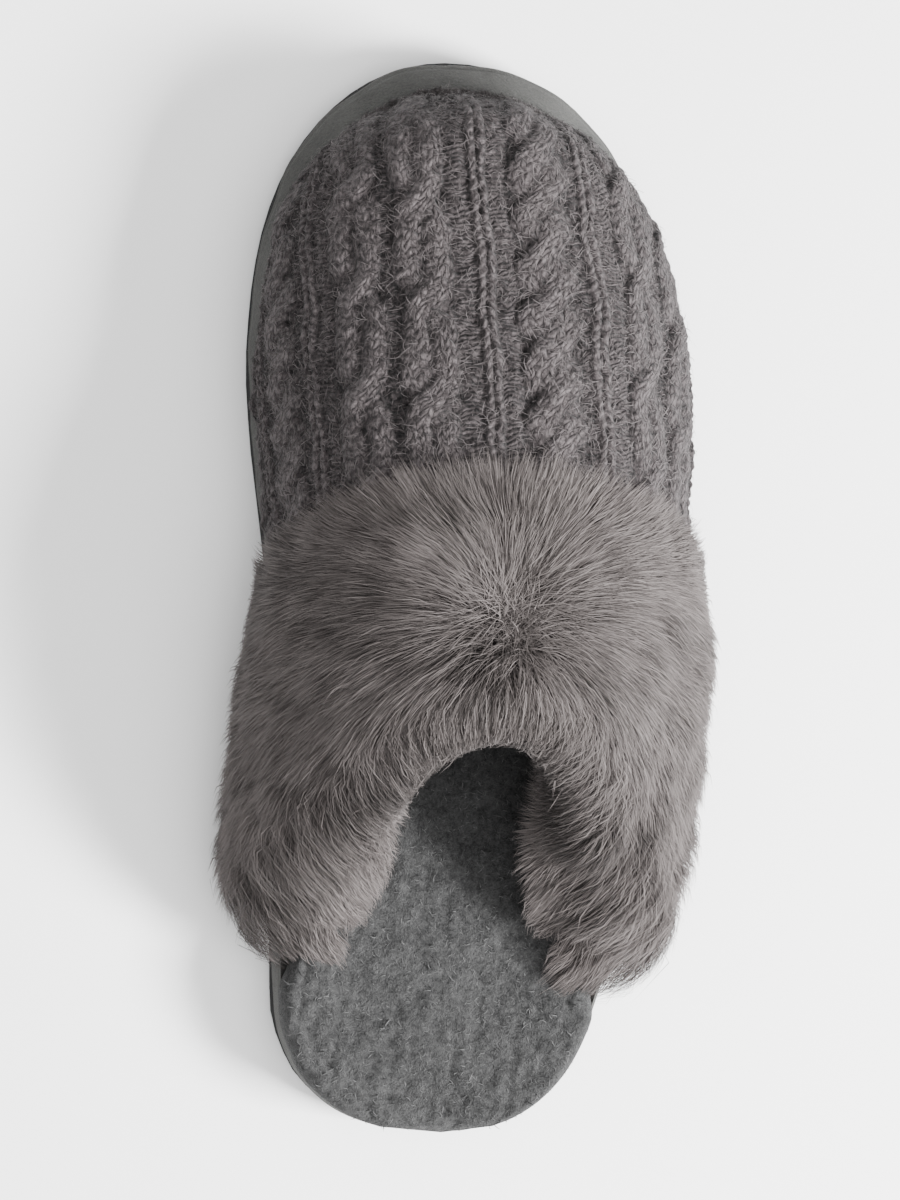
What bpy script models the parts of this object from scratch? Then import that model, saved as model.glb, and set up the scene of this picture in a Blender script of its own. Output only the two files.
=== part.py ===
"""Knitted slipper for the right foot: an open-backed mule with a fur cuff.

Metres, +Z up, toe toward +Y, lateral side toward +X, soles of the lugs on z = 0.
Five pieces: outsole, midsole, insole, upper and fur_cuff. Everything is worked out
from the driving sizes and three short tables. A place along the shoe is given by a
turn u from 0 at the heel end to 1 at the toe tip, with station = (1 - cos(pi u)) / 2
as the share of the length, so that the rounded ends come out smooth.
"""
from collections import namedtuple

import bpy
import numpy as np

# Sole sizes
LENGTH = 0.2580
BALL_WIDTH = 0.1057
WAIST_WIDTH = 0.0845
HEEL_WIDTH = 0.0790
OUTSOLE_THICKNESS = 0.0060
LUG_DEPTH = 0.0016
LUG_LENGTH = 0.0075
LUG_PITCH = 0.0128
LUG_MARGIN = 0.0060
LUG_BOW = 0.0045
SIDE_STEP = 0.0008
SIDE_BEVEL = 0.0025
SIDE_BEVEL_RISE = 0.0012
PLATFORM_THICKNESS = 0.0105
FOOTBED_THICKNESS = 0.0072
FOOTBED_DISH = 0.0016
FOOTBED_UNDERCUT = 0.0012
FOOTBED_ROUND = 0.0030
SHELF_EASE = 0.0004
TOE_SPRING = 0.0065
ARCH_RISE = 0.0025
BAND_LEAN = 0.0095

# Upper sizes
INSTEP_HEIGHT = 0.0660
WALL = 0.0026
BULGE = 0.0016
COLLAR_LEAN_MEDIAL = 0.0140
COLLAR_LEAN_LATERAL = 0.0240
MOUTH_APEX = 0.396
ARM_END_MEDIAL = 0.200
ARM_END_LATERAL = 0.168

# Knit columns, across the upper from its middle rib
RIB_WIDTH = 0.0040
CABLE_WIDTH = 0.0133
LADDER_WIDTH = 0.0042
SLIT_WIDTH = 0.0026
CABLE_REPEAT = 0.0230
KNIT_RELIEF = 0.0011

# Fur cuff sizes
CUFF_DEPTH = 0.0080
CUFF_HEM_DEPTH = 0.0030
CUFF_ROLL = 0.0052
CUFF_OVERHANG = 0.0045
ARM_OVERHANG = 0.0050
CUFF_DROP = 0.0055
CUFF_FRONT_SIDE = 0.505
CUFF_FRONT_TOP = 0.582
LOCK_LENGTH = 0.0145
LOCK_RISE = 0.0030
HEM_TONGUE = 0.0090
LIP_TONGUE = 0.0026
SIDE_TONGUE = 0.0040
TONGUE_THICKNESS = 0.0012

# Clearances between neighbours
GAP = 0.0003
SEAT_INSET = 0.0008

# Shares: where the outsole's side steps in, how deep a tread bar sits in the outsole, how much
# of the arc a column may fill, and the footbed's rise from the collar's arm to the open heel
STEP_LOW, STEP_HIGH = 0.62, 0.70
LUG_SINK = 0.5
COLUMN_FIT = 1.12
RIM_FAR, RIM_NEAR = 3.25, 1.5

# How finely the surfaces are divided, and the turn over which a slope is measured
SOLE_ROWS = 47
CUFF_ROWS = 15
VAMP_ROWS = 16
ARC_SAMPLES = 121
NUDGE = 0.002

Edge = namedtuple("Edge", "station width medial lateral")
OUTLINE = (
    Edge(0.000, HEEL_WIDTH, -0.108, -0.108),
    Edge(0.009, HEEL_WIDTH, -0.325, 0.080),
    Edge(0.028, HEEL_WIDTH, -0.451, 0.196),
    Edge(0.066, HEEL_WIDTH, -0.561, 0.306),
    Edge(0.122, HEEL_WIDTH, -0.613, 0.384),
    Edge(0.216, WAIST_WIDTH, -0.575, 0.420),
    Edge(0.310, WAIST_WIDTH, -0.570, 0.473),
    Edge(0.400, BALL_WIDTH, -0.458, 0.421),
    Edge(0.500, BALL_WIDTH, -0.466, 0.459),
    Edge(0.572, BALL_WIDTH, -0.483, 0.478),
    Edge(0.647, BALL_WIDTH, -0.504, 0.487),
    Edge(0.713, BALL_WIDTH, -0.513, 0.487),
    Edge(0.779, BALL_WIDTH, -0.503, 0.466),
    Edge(0.835, BALL_WIDTH, -0.481, 0.425),
    Edge(0.891, BALL_WIDTH, -0.435, 0.367),
    Edge(0.929, BALL_WIDTH, -0.380, 0.307),
    Edge(0.966, BALL_WIDTH, -0.293, 0.218),
    Edge(0.985, BALL_WIDTH, -0.219, 0.132),
    Edge(1.000, BALL_WIDTH, -0.061, -0.061),
)

# Shares of TOE_SPRING, ARCH_RISE, PLATFORM_THICKNESS, FOOTBED_THICKNESS, INSTEP_HEIGHT and
# BAND_LEAN at a station; square is the exponent of the upper's section, 2 for an ellipse.
Section = namedtuple("Section", "station spring arch platform footbed crown square lean")
SECTIONS = (
    Section(0.00, 0.12, 0.00, 1.00, 1.00, 0.93, 1.95, 0.03),
    Section(0.06, 0.00, 0.00, 1.00, 1.00, 0.94, 1.95, 0.03),
    Section(0.20, 0.00, 0.00, 0.98, 0.97, 0.97, 1.95, 0.04),
    Section(0.32, 0.00, 0.40, 0.95, 0.92, 1.00, 2.00, 0.05),
    Section(0.42, 0.00, 1.00, 0.92, 0.85, 0.98, 2.05, 0.07),
    Section(0.52, 0.00, 0.40, 0.90, 0.78, 0.90, 2.15, 0.10),
    Section(0.60, 0.00, 0.00, 0.90, 0.72, 0.81, 2.25, 0.14),
    Section(0.70, 0.00, 0.00, 0.90, 0.70, 0.70, 2.35, 0.19),
    Section(0.78, 0.04, 0.00, 0.90, 0.70, 0.62, 2.35, 0.26),
    Section(0.85, 0.22, 0.00, 0.92, 0.70, 0.545, 2.35, 0.38),
    Section(0.91, 0.50, 0.00, 0.95, 0.70, 0.465, 2.30, 0.58),
    Section(0.95, 0.72, 0.00, 0.97, 0.70, 0.375, 2.20, 0.78),
    Section(0.98, 0.89, 0.00, 1.00, 0.70, 0.250, 2.10, 0.94),
    Section(1.00, 1.00, 0.00, 1.00, 0.70, 0.00, 2.00, 1.00),
)

# Knit columns from the middle rib outward on each side: kind of column and its width
Column = namedtuple("Column", "kind width")
MEDIAL_COLUMNS = (
    Column("ladder", LADDER_WIDTH),
    Column("cable", CABLE_WIDTH),
    Column("slit", SLIT_WIDTH),
    Column("cable", CABLE_WIDTH),
    Column("ladder", LADDER_WIDTH),
    Column("rib", RIB_WIDTH),
    Column("slit", SLIT_WIDTH),
    Column("cable", CABLE_WIDTH),
)
LATERAL_COLUMNS = (
    Column("ladder", LADDER_WIDTH),
    Column("cable", CABLE_WIDTH),
    Column("slit", SLIT_WIDTH),
    Column("rib", RIB_WIDTH),
    Column("ladder", LADDER_WIDTH),
    Column("cable", CABLE_WIDTH),
    Column("cable", CABLE_WIDTH),
)
# Where the raised lines of a column lie, as shares of its width
RAISED_LINES = {"rib": (0.5,), "cable": (0.32, 0.68), "ladder": (), "slit": ()}
SIDE_LINES = 3

MEDIAL, LATERAL = -1.0, 1.0


def station(u):
    """Share of the length at a turn u."""
    return 0.5 * (1.0 - np.cos(np.pi * np.asarray(u, dtype=float)))


def turn(share):
    """Turn u at a share of the length."""
    return np.arccos(1.0 - 2.0 * np.clip(share, 0.0, 1.0)) / np.pi


def smooth_through(knots, values, at):
    """Monotone cubic through (knots, values), read at the places `at`."""
    step = np.diff(knots)
    slope = np.diff(values) / step
    product = slope[:-1] * slope[1:]
    total = slope[:-1] + slope[1:]
    safe = np.where(product > 0.0, total, 1.0)
    tangent = np.zeros(len(values))
    tangent[1:-1] = np.where(product > 0.0, 2.0 * product / safe, 0.0)
    tangent[0] = slope[0]
    tangent[-1] = slope[-1]
    at = np.asarray(at, dtype=float)
    k = np.clip(np.searchsorted(knots, at, side="right") - 1, 0, len(step) - 1)
    s = (at - knots[k]) / step[k]
    return (
        (1 + 2 * s) * (1 - s) ** 2 * values[k]
        + s * (1 - s) ** 2 * step[k] * tangent[k]
        + s * s * (3 - 2 * s) * values[k + 1]
        + s * s * (s - 1) * step[k] * tangent[k + 1]
    )


OUTLINE_TURNS = turn(np.array([row.station for row in OUTLINE]))
SECTION_TURNS = turn(np.array([row.station for row in SECTIONS]))


def section_value(name, u):
    """One column of SECTIONS at a turn u."""
    values = np.array([getattr(row, name) for row in SECTIONS])
    return smooth_through(SECTION_TURNS, values, u)


def soft_step(low, high, value):
    """0 below low, 1 above high, smooth between."""
    s = np.clip((value - low) / (high - low), 0.0, 1.0)
    return s * s * (3.0 - 2.0 * s)


def edge(u, side):
    """Plan point of the sole's outline on one side."""
    name = "medial" if side == MEDIAL else "lateral"
    values = np.array([getattr(row, name) * row.width for row in OUTLINE])
    return np.stack([smooth_through(OUTLINE_TURNS, values, u), LENGTH * station(u)], axis=-1)


def outline(u, side, inset=0.0):
    """Outline moved inward by inset, along its normal in plan."""
    u = np.asarray(u, dtype=float)
    ahead = edge(np.clip(u + NUDGE, 0.0, 1.0), side)
    behind = edge(np.clip(u - NUDGE, 0.0, 1.0), side)
    along = ahead - behind
    along = along / np.linalg.norm(along, axis=-1, keepdims=True)
    inward = np.stack([-side * along[..., 1], side * along[..., 0]], axis=-1)
    return edge(u, side) + inward * np.asarray(inset)[..., None]


def ground(u):
    """Height of the lugs' soles: toe spring, arch and a small heel bevel."""
    return TOE_SPRING * section_value("spring", u) + ARCH_RISE * section_value("arch", u)


def midsole_base(u):
    """Height of the midsole's underside."""
    return ground(u) + OUTSOLE_THICKNESS + GAP


def midsole_top(u):
    """Height of the midsole's top."""
    return midsole_base(u) + PLATFORM_THICKNESS * section_value("platform", u)


def seat_height(u):
    """Height at which upper and insole stand on the midsole."""
    return midsole_top(u) + GAP


def feather_inset(u):
    """How far inside the outline the foot of the upper stands."""
    return BAND_LEAN * section_value("lean", u) + SEAT_INSET


def footbed_inset(u, side):
    """Inset of the insole's edge: inside the upper's wall, out to the rim at the open heel."""
    arm_end = ARM_END_MEDIAL if side == MEDIAL else ARM_END_LATERAL
    roll = CUFF_ROLL / LENGTH
    covered = soft_step(arm_end - RIM_FAR * roll, arm_end - RIM_NEAR * roll, station(u))
    toe_room = 0.6 * WALL * soft_step(0.90, 1.0, station(u))
    return feather_inset(u) + covered * (WALL + GAP) + toe_room


def section_shares(u, angle):
    """Across (-1 medial, 1 lateral) and up (0 to 1) shares of the section at an angle."""
    power = 2.0 / section_value("square", u)
    across = -np.sign(np.cos(angle)) * np.abs(np.cos(angle)) ** power
    return across, np.abs(np.sin(angle)) ** power


def vamp_point(u, angle, wall=0.0):
    """Point of the upper's outer face, or of a face `wall` inside it.

    The section at u is a rounded arch between the two feather edges, with a low bulge,
    leaning in toward the collar on both arms.
    """
    u, angle = np.broadcast_arrays(np.asarray(u, dtype=float), np.asarray(angle, dtype=float))
    across, up = section_shares(u, angle)
    inset = feather_inset(u) + wall
    medial = outline(u, MEDIAL, inset)
    lateral = outline(u, LATERAL, inset)
    height = INSTEP_HEIGHT * section_value("crown", u)
    inner_height = height * height / (height + wall + 1e-9)
    middle = 0.5 * (medial + lateral)
    half = 0.5 * (lateral - medial)
    low = np.clip(up / 0.65, 0.0, 1.0)
    bulge = BULGE * np.sign(across) * 4.0 * low * (1.0 - low) * soft_step(0.0, 0.4, height / INSTEP_HEIGHT)
    rear = 1.0 - soft_step(0.20, 0.48, station(u))
    lean_in = np.where(across < 0.0, COLLAR_LEAN_MEDIAL, -COLLAR_LEAN_LATERAL)
    footbed = 1.3 * FOOTBED_THICKNESS / INSTEP_HEIGHT
    above = np.clip((up - footbed) / (1.0 - footbed), 0.0, 1.0)
    lean = lean_in * np.abs(across) * (1.35 - 0.35 * across ** 2) * above * rear
    return np.stack(
        [
            middle[..., 0] + across * half[..., 0] + bulge + lean,
            middle[..., 1] + across * half[..., 1],
            seat_height(u) + inner_height * up,
        ],
        axis=-1,
    )


def vamp_frame(u, angle):
    """Outward normal and backward direction of the upper's outer face."""
    ahead = vamp_point(np.clip(u + NUDGE, 0.0, 0.995), angle)
    along = ahead - vamp_point(np.clip(u - NUDGE, 0.0, 0.99), angle)
    beyond = vamp_point(u, np.clip(angle + NUDGE, 0.0, np.pi))
    around = beyond - vamp_point(u, np.clip(angle - NUDGE, 0.0, np.pi))
    normal = np.cross(around, along)
    normal = normal / np.linalg.norm(normal, axis=-1, keepdims=True)
    backward = -along / np.linalg.norm(along, axis=-1, keepdims=True)
    return normal, backward


def angle_at_reach(u, reach, side):
    """Angle of the section at u where the arc from the middle line has length reach."""
    samples = np.linspace(0.5 * np.pi, 0.0 if side == MEDIAL else np.pi, ARC_SAMPLES)
    points = vamp_point(np.full(ARC_SAMPLES, u), samples)
    arc = np.concatenate([[0.0], np.cumsum(np.linalg.norm(np.diff(points, axis=0), axis=1))])
    return np.interp(reach(arc[-1]), arc, samples)


def mouth_turn(u, angle):
    """Turn at which the collar's slanted cut passes the given angle."""
    across, up = section_shares(u, angle)
    arm_end = np.where(across < 0.0, ARM_END_MEDIAL, ARM_END_LATERAL)
    return turn(arm_end + (MOUTH_APEX - arm_end) * up)


def cuff_front_turn(u, angle):
    """Turn at which the cuff's front hem passes the given angle."""
    up = section_shares(u, angle)[1]
    return turn(CUFF_FRONT_SIDE + (CUFF_FRONT_TOP - CUFF_FRONT_SIDE) * up)


KnitLine = namedtuple("KnitLine", "side reach raised phase")


def knit_lines():
    """Lines along the upper, medial feather edge to lateral: column edges and raised lines."""
    sides = []
    for side, columns in ((MEDIAL, MEDIAL_COLUMNS), (LATERAL, LATERAL_COLUMNS)):
        start = 0.5 * RIB_WIDTH
        lines = [(start, 0.0, 0.0)]
        for column in columns:
            for number, share in enumerate(RAISED_LINES[column.kind]):
                turning = np.pi * number if column.kind == "cable" else 0.0
                lines.append((start + share * column.width, 1.0, turning))
            start += column.width
            lines.append((start, 0.0, 0.0))
        last = start

        def column_reach(arc, distance):
            return distance * min(1.0, arc / (COLUMN_FIT * last))

        def side_reach(arc, share):
            inner = last * min(1.0, arc / (COLUMN_FIT * last))
            return inner + (arc - inner) * share

        made = [
            KnitLine(side, lambda arc, d=distance, f=column_reach: f(arc, d), raised, phase)
            for distance, raised, phase in lines
        ]
        for number in range(1, SIDE_LINES + 2):
            share = number / (SIDE_LINES + 1)
            made.append(KnitLine(side, lambda arc, s=share, f=side_reach: f(arc, s), 0.0, 0.0))
        sides.append(made)
    middle = KnitLine(LATERAL, lambda arc: 0.0, 1.0, 0.0)
    return sides[0][::-1] + [middle] + sides[1]


def vamp_grid():
    """Turns and angles of the upper's grid: a row per step from mouth to toe, a column per line."""
    lines = knit_lines()
    turns = np.zeros((CUFF_ROWS + VAMP_ROWS + 1, len(lines)))
    angles = np.zeros_like(turns)
    for j, line in enumerate(lines):
        start, front = turn(MOUTH_APEX), turn(CUFF_FRONT_TOP)
        for _ in range(8):
            start = mouth_turn(start, angle_at_reach(start, line.reach, line.side))
            front = cuff_front_turn(front, angle_at_reach(front, line.reach, line.side))
        covered = np.linspace(start, front, CUFF_ROWS + 1)
        bare = np.linspace(front, 1.0, VAMP_ROWS + 1)[1:]
        turns[:, j] = np.concatenate([covered, bare])
        angles[:-1, j] = [angle_at_reach(u, line.reach, line.side) for u in turns[:-1, j]]
    angles[-1] = angles[-2]
    return lines, turns, angles


def knit_relief(lines, turns):
    """Height of the raised knit over the wall, none under the cuff and at the toe tip."""
    raised = np.array([line.raised for line in lines])
    phase = np.array([line.phase for line in lines])
    along = LENGTH * station(turns)
    wave = 0.78 + 0.22 * np.cos(2.0 * np.pi * along / CABLE_REPEAT + phase)
    rows = np.arange(len(turns))
    bare = np.where((rows > CUFF_ROWS) & (rows < len(turns) - 1), 1.0, 0.0)
    fade = 1.0 - soft_step(0.90, 0.985, station(turns))
    return KNIT_RELIEF * raised * wave * bare[:, None] * fade


def add_object(name, points, faces, finish):
    """Closed mesh object with outward faces and its own material."""
    mesh = bpy.data.meshes.new(name)
    mesh.from_pydata([tuple(p) for p in points], [], faces)
    mesh.validate()
    mesh.shade_smooth()
    mesh.set_sharp_from_angle(angle=np.radians(40.0))
    made = bpy.data.objects.new(name, mesh)
    bpy.context.scene.collection.objects.link(made)
    if finish is not None:
        mesh.materials.append(finish)
    return made


def make_finish(name, colour, roughness, metallic=0.0):
    """Principled material of one colour."""
    finish = bpy.data.materials.new(name)
    finish.use_nodes = True
    shader = finish.node_tree.nodes["Principled BSDF"]
    shader.inputs["Base Color"].default_value = (*colour, 1.0)
    shader.inputs["Roughness"].default_value = roughness
    shader.inputs["Metallic"].default_value = metallic
    return finish


def slab(levels, cap_shares=(0.0, 1.0), dish=0.0):
    """Points and faces of a slab of the sole's outline.

    levels run from the bottom up, each a pair of functions: inset(u, side) and height(u).
    cap_shares are the places across at which the top has points, dish its sink in the middle.
    """
    u = np.linspace(0.0, 1.0, SOLE_ROWS)
    loops = []
    for inset, height in levels:
        medial = outline(u, MEDIAL, inset(u, MEDIAL))
        lateral = outline(u, LATERAL, inset(u, LATERAL))[-2:0:-1]
        heights = np.concatenate([height(u), height(u)[-2:0:-1]])
        loops.append(np.column_stack([np.concatenate([medial, lateral]), heights]))
    count = len(loops[0])
    points = list(np.concatenate(loops))
    faces = []
    for level in range(len(loops) - 1):
        low, high = level * count, (level + 1) * count
        for i in range(count):
            k = (i + 1) % count
            faces.append((low + k, low + i, high + i, high + k))

    def other(i):
        return (count - i) % count

    top = (len(loops) - 1) * count
    for i in range(SOLE_ROWS - 1):
        bottom = (i, i + 1, other(i + 1), other(i))
        faces.append(tuple(dict.fromkeys(bottom)))

    rows = []
    for i in range(SOLE_ROWS):
        left, right = points[top + i], points[top + other(i)]
        row = [top + i]
        if 0 < i < SOLE_ROWS - 1:
            for share in cap_shares[1:-1]:
                sink = dish * (1.0 - (2.0 * share - 1.0) ** 4) * np.sin(np.pi * i / (SOLE_ROWS - 1)) ** 0.5
                inner = left + (right - left) * share
                row.append(len(points))
                points.append(inner - np.array([0.0, 0.0, sink]))
            row.append(top + other(i))
        rows.append(row)
    for first, second in zip(rows[:-1], rows[1:]):
        for k in range(len(cap_shares) - 1):
            a, b = first[min(k, len(first) - 1)], first[min(k + 1, len(first) - 1)]
            c, d = second[min(k + 1, len(second) - 1)], second[min(k, len(second) - 1)]
            faces.append(tuple(dict.fromkeys((a, b, c, d))))
    return points, faces


def lug_bar(place):
    """One bowed bar of the tread, from a place along the sole, its head sunk in the outsole."""
    shares = np.linspace(0.0, 1.0, 5)
    bow = LUG_BOW * (1.0 - (2.0 * shares - 1.0) ** 2)
    points = []
    for offset in (0.0, LUG_LENGTH):
        u = turn((place + offset) / LENGTH)
        left = outline(u, MEDIAL, LUG_MARGIN)[0]
        right = outline(u, LATERAL, LUG_MARGIN)[0]
        across = left + (right - left) * shares
        along = place + offset + bow
        sole = ground(turn(along / LENGTH))
        for height in (sole, sole + LUG_DEPTH * (1.0 + LUG_SINK)):
            points += list(np.column_stack([across, along, height]))
    n = len(shares)
    faces = []
    for k in range(n - 1):
        low_back, high_back, low_front, high_front = k, n + k, 2 * n + k, 3 * n + k
        faces.append((low_back, low_back + 1, high_back + 1, high_back))
        faces.append((low_front + 1, low_front, high_front, high_front + 1))
        faces.append((low_back + 1, low_back, low_front, low_front + 1))
        faces.append((high_back, high_back + 1, high_front + 1, high_front))
    faces.append((0, n, 3 * n, 2 * n))
    faces.append((2 * n - 1, n - 1, 3 * n - 1, 4 * n - 1))
    return points, faces


def join_onto(base, parts, name):
    """Boolean union of base with every mesh of parts, kept in a collection and under base."""
    group = bpy.data.collections.new(name)
    bpy.context.scene.collection.children.link(group)
    for number, (points, faces) in enumerate(parts):
        cutter = add_object(f"{name}_{number}", points, faces, None)
        cutter.hide_render = True
        cutter.display_type = "WIRE"
        cutter.parent = base
        bpy.context.scene.collection.objects.unlink(cutter)
        group.objects.link(cutter)
    union = base.modifiers.new("Union", "BOOLEAN")
    union.operation = "UNION"
    union.solver = "EXACT"
    union.operand_type = "COLLECTION"
    union.collection = group


def build_outsole(finish):
    """Rubber outsole with a stepped side and bowed bars of tread."""
    levels = (
        (lambda u, side: SIDE_BEVEL + 0.0 * u, lambda u: ground(u) + LUG_DEPTH),
        (lambda u, side: 0.0 * u, lambda u: ground(u) + LUG_DEPTH + SIDE_BEVEL_RISE),
        (lambda u, side: 0.0 * u, lambda u: ground(u) + STEP_LOW * OUTSOLE_THICKNESS),
        (lambda u, side: SIDE_STEP + 0.0 * u, lambda u: ground(u) + STEP_HIGH * OUTSOLE_THICKNESS),
        (lambda u, side: SIDE_STEP + 0.0 * u, lambda u: ground(u) + OUTSOLE_THICKNESS),
    )
    outsole = add_object("outsole", *slab(levels), finish)
    places = np.arange(0.035 * LENGTH, 0.945 * LENGTH, LUG_PITCH)
    join_onto(outsole, [lug_bar(place) for place in places], "lugs")
    return outsole


def build_midsole(finish):
    """Wrapped foam platform whose side is the band, leaning in toward the toe."""

    def lean(share, extra):
        return lambda u, side: feather_inset(u) * share + extra

    def height(share):
        return lambda u: midsole_base(u) + (midsole_top(u) - midsole_base(u)) * share

    levels = (
        (lean(0.0, SIDE_STEP), height(0.0)),
        (lean(0.06, 0.0), height(0.10)),
        (lean(0.36, 0.0), height(0.45)),
        (lean(0.80, 0.0), height(0.86)),
        (lean(1.0, SHELF_EASE), height(1.0)),
    )
    return add_object("midsole", *slab(levels), finish)


def build_insole(finish):
    """Fleece-covered footbed: rounded rim, sunk a little under the foot."""

    def height(share):
        return lambda u: seat_height(u) + FOOTBED_THICKNESS * section_value("footbed", u) * share

    levels = (
        (lambda u, side: footbed_inset(u, side) + FOOTBED_UNDERCUT, height(0.0)),
        (lambda u, side: footbed_inset(u, side), height(0.30)),
        (lambda u, side: footbed_inset(u, side) + 0.13 * FOOTBED_ROUND, height(0.72)),
        (lambda u, side: footbed_inset(u, side) + FOOTBED_ROUND, height(1.0)),
    )
    shares = (0.0, 0.14, 0.36, 0.64, 0.86, 1.0)
    return add_object("insole", *slab(levels, shares, FOOTBED_DISH), finish)


def sheet_solid(outer, inner, pole):
    """Closed solid between two grids of the same shape; with pole, the last row is one point."""
    rows, lines = outer.shape[:2]
    body_rows = rows - 1 if pole else rows
    points = list(outer[:body_rows].reshape(-1, 3)) + list(inner[:body_rows].reshape(-1, 3))
    shift = body_rows * lines
    faces = []
    for i in range(body_rows - 1):
        for j in range(lines - 1):
            a, b, c, d = i * lines + j, i * lines + j + 1, (i + 1) * lines + j + 1, (i + 1) * lines + j
            faces.append((a, b, c, d))
            faces.append((shift + d, shift + c, shift + b, shift + a))
        for j, flip in ((0, False), (lines - 1, True)):
            a, d = i * lines + j, (i + 1) * lines + j
            quad = (a, d, shift + d, shift + a)
            faces.append(quad[::-1] if flip else quad)
    for j in range(lines - 1):
        faces.append((j + 1, j, shift + j, shift + j + 1))
    last = (body_rows - 1) * lines
    if pole:
        tip, inner_tip = len(points), len(points) + 1
        points += [outer[-1, 0], inner[-1, 0]]
        for j in range(lines - 1):
            faces.append((last + j, last + j + 1, tip))
            faces.append((shift + last + j + 1, shift + last + j, inner_tip))
        faces.append((last, tip, inner_tip, shift + last))
        faces.append((last + lines - 1, shift + last + lines - 1, inner_tip, tip))
    else:
        for j in range(lines - 1):
            faces.append((last + j, last + j + 1, shift + last + j + 1, shift + last + j))
    return points, faces


def build_upper(finish, lines, turns, angles):
    """Hollow knitted upper: open at the back and underneath, cables and ribs raised."""
    normal = np.zeros((*turns.shape, 3))
    normal[:-1] = vamp_frame(turns[:-1], angles[:-1])[0]
    outer = vamp_point(turns, angles) + normal * knit_relief(lines, turns)[..., None]
    inner = vamp_point(turns, angles, WALL)
    return add_object("upper", *sheet_solid(outer, inner, True), finish)


def lock_backs(lines):
    """1 on every second line, the back of a lock, and 0 on the partings between."""
    return (np.arange(lines) % 2).astype(float)


def lock_relief(share, lines):
    """Overlapping locks as relief: each rises from its root to its tip, then drops.

    Neighbouring locks are set about half a lock apart along the cuff.
    """
    width = CUFF_FRONT_TOP - MOUTH_APEX
    steps = share * width * LENGTH / LOCK_LENGTH
    column = np.arange(lines)
    offset = 0.5 * ((column // 2) % 2) + 0.17 * np.sin(1.9 * column)
    saw = np.mod(steps[:, None] + offset[None, :], 1.0)
    rise = np.minimum(saw / 0.75, (1.0 - saw) / 0.25)
    return rise * (0.2 + 0.8 * lock_backs(lines))


def hem_tongues(hem_turns, hem_angles):
    """Wall and fur points of the front hem, with a pointed tongue of fur at each lock's back."""
    backs = lock_backs(len(hem_turns))
    uneven = 1.0 + 0.18 * np.sin(2.3 * np.arange(len(hem_turns)))
    tips = turn(station(hem_turns) + HEM_TONGUE * backs * uneven / LENGTH)
    surface = vamp_point(tips, hem_angles)
    normal = vamp_frame(tips, hem_angles)[0]
    clear = GAP + 2.0 * KNIT_RELIEF * backs
    thick = TONGUE_THICKNESS + (CUFF_HEM_DEPTH - TONGUE_THICKNESS) * (1.0 - backs)
    wall = surface + normal * clear[:, None]
    return wall, wall + normal * thick[:, None]


def cuff_faces(turns, angles):
    """Inner and outer grids of the cuff: two rows round the lip, then the rows over the upper."""
    rows = turns[: CUFF_ROWS + 1]
    spread = angles[: CUFF_ROWS + 1]
    surface = vamp_point(rows, spread)
    normal, backward = vamp_frame(rows, spread)
    share = np.linspace(0.0, 1.0, CUFF_ROWS + 1)
    backs = lock_backs(rows.shape[1])[None, :, None]
    depth = CUFF_HEM_DEPTH + (CUFF_DEPTH - CUFF_HEM_DEPTH) * (1.0 - share ** 3)
    depth = (depth[:, None] + LOCK_RISE * lock_relief(share, rows.shape[1]))[..., None]
    roll = 0.5 * CUFF_ROLL * (1.0 - share[:, None, None]) ** 4
    wall_side = surface + normal * GAP
    fur_side = surface + normal * (GAP + depth) + backward * roll
    wall_side[-1], fur_side[-1] = hem_tongues(rows[-1], spread[-1])
    up = section_shares(rows[:1], spread[:1])[1][..., None]
    inward = WALL * 0.6 * soft_step(0.0, 0.3, up[..., 0])
    lip_in = vamp_point(rows[:1], spread[:1], inward) + backward[:1] * GAP
    lip_out = surface[:1] + (backward[:1] + normal[:1]) * GAP
    overhang = (CUFF_OVERHANG + ARM_OVERHANG * (1.0 - up ** 2)) * soft_step(0.12, 0.50, up)
    tongue = LIP_TONGUE * backs * up
    crest_in = lip_in + backward[:1] * (0.55 * CUFF_ROLL + tongue) - normal[:1] * (overhang + 0.5 * tongue)
    crest_out = lip_out + backward[:1] * (CUFF_ROLL + tongue) + normal[:1] * 0.35 * CUFF_DEPTH
    wall_grid = np.concatenate([lip_in, lip_out, wall_side])
    fur_grid = np.concatenate([crest_in, crest_out, fur_side])
    return hem_lines(wall_grid, fur_grid)


def hem_lines(wall_grid, fur_grid):
    """Both grids with one more line at each side, where tongues of fur hang over the band."""
    count = len(wall_grid)
    tongues = SIDE_TONGUE * lock_backs(count) * (1.0 + 0.2 * np.sin(1.7 * np.arange(count)))
    hung = []
    for grid, out, drop in (
        (wall_grid, 2.0 * GAP, CUFF_DROP + tongues),
        (fur_grid, GAP + CUFF_HEM_DEPTH, CUFF_DROP + 0.2 * CUFF_HEM_DEPTH + tongues),
    ):
        added = []
        for side, column in ((MEDIAL, 0), (LATERAL, -1)):
            turns = turn(grid[:, column, 1] / LENGTH)
            plan = outline(turns, side, -out * np.ones(count))
            plan[:, 1] = grid[:, column, 1]
            added.append(np.column_stack([plan, seat_height(turns) - drop])[:, None, :])
        hung.append(np.concatenate([added[0], grid, added[1]], axis=1))
    return hung


def build_cuff(finish, turns, angles):
    """Fur cuff turned out over the collar: one solid, its locks raised and its hems pointed."""
    wall_grid, fur_grid = cuff_faces(turns, angles)
    return add_object("fur_cuff", *sheet_solid(fur_grid, wall_grid, False), finish)


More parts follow.
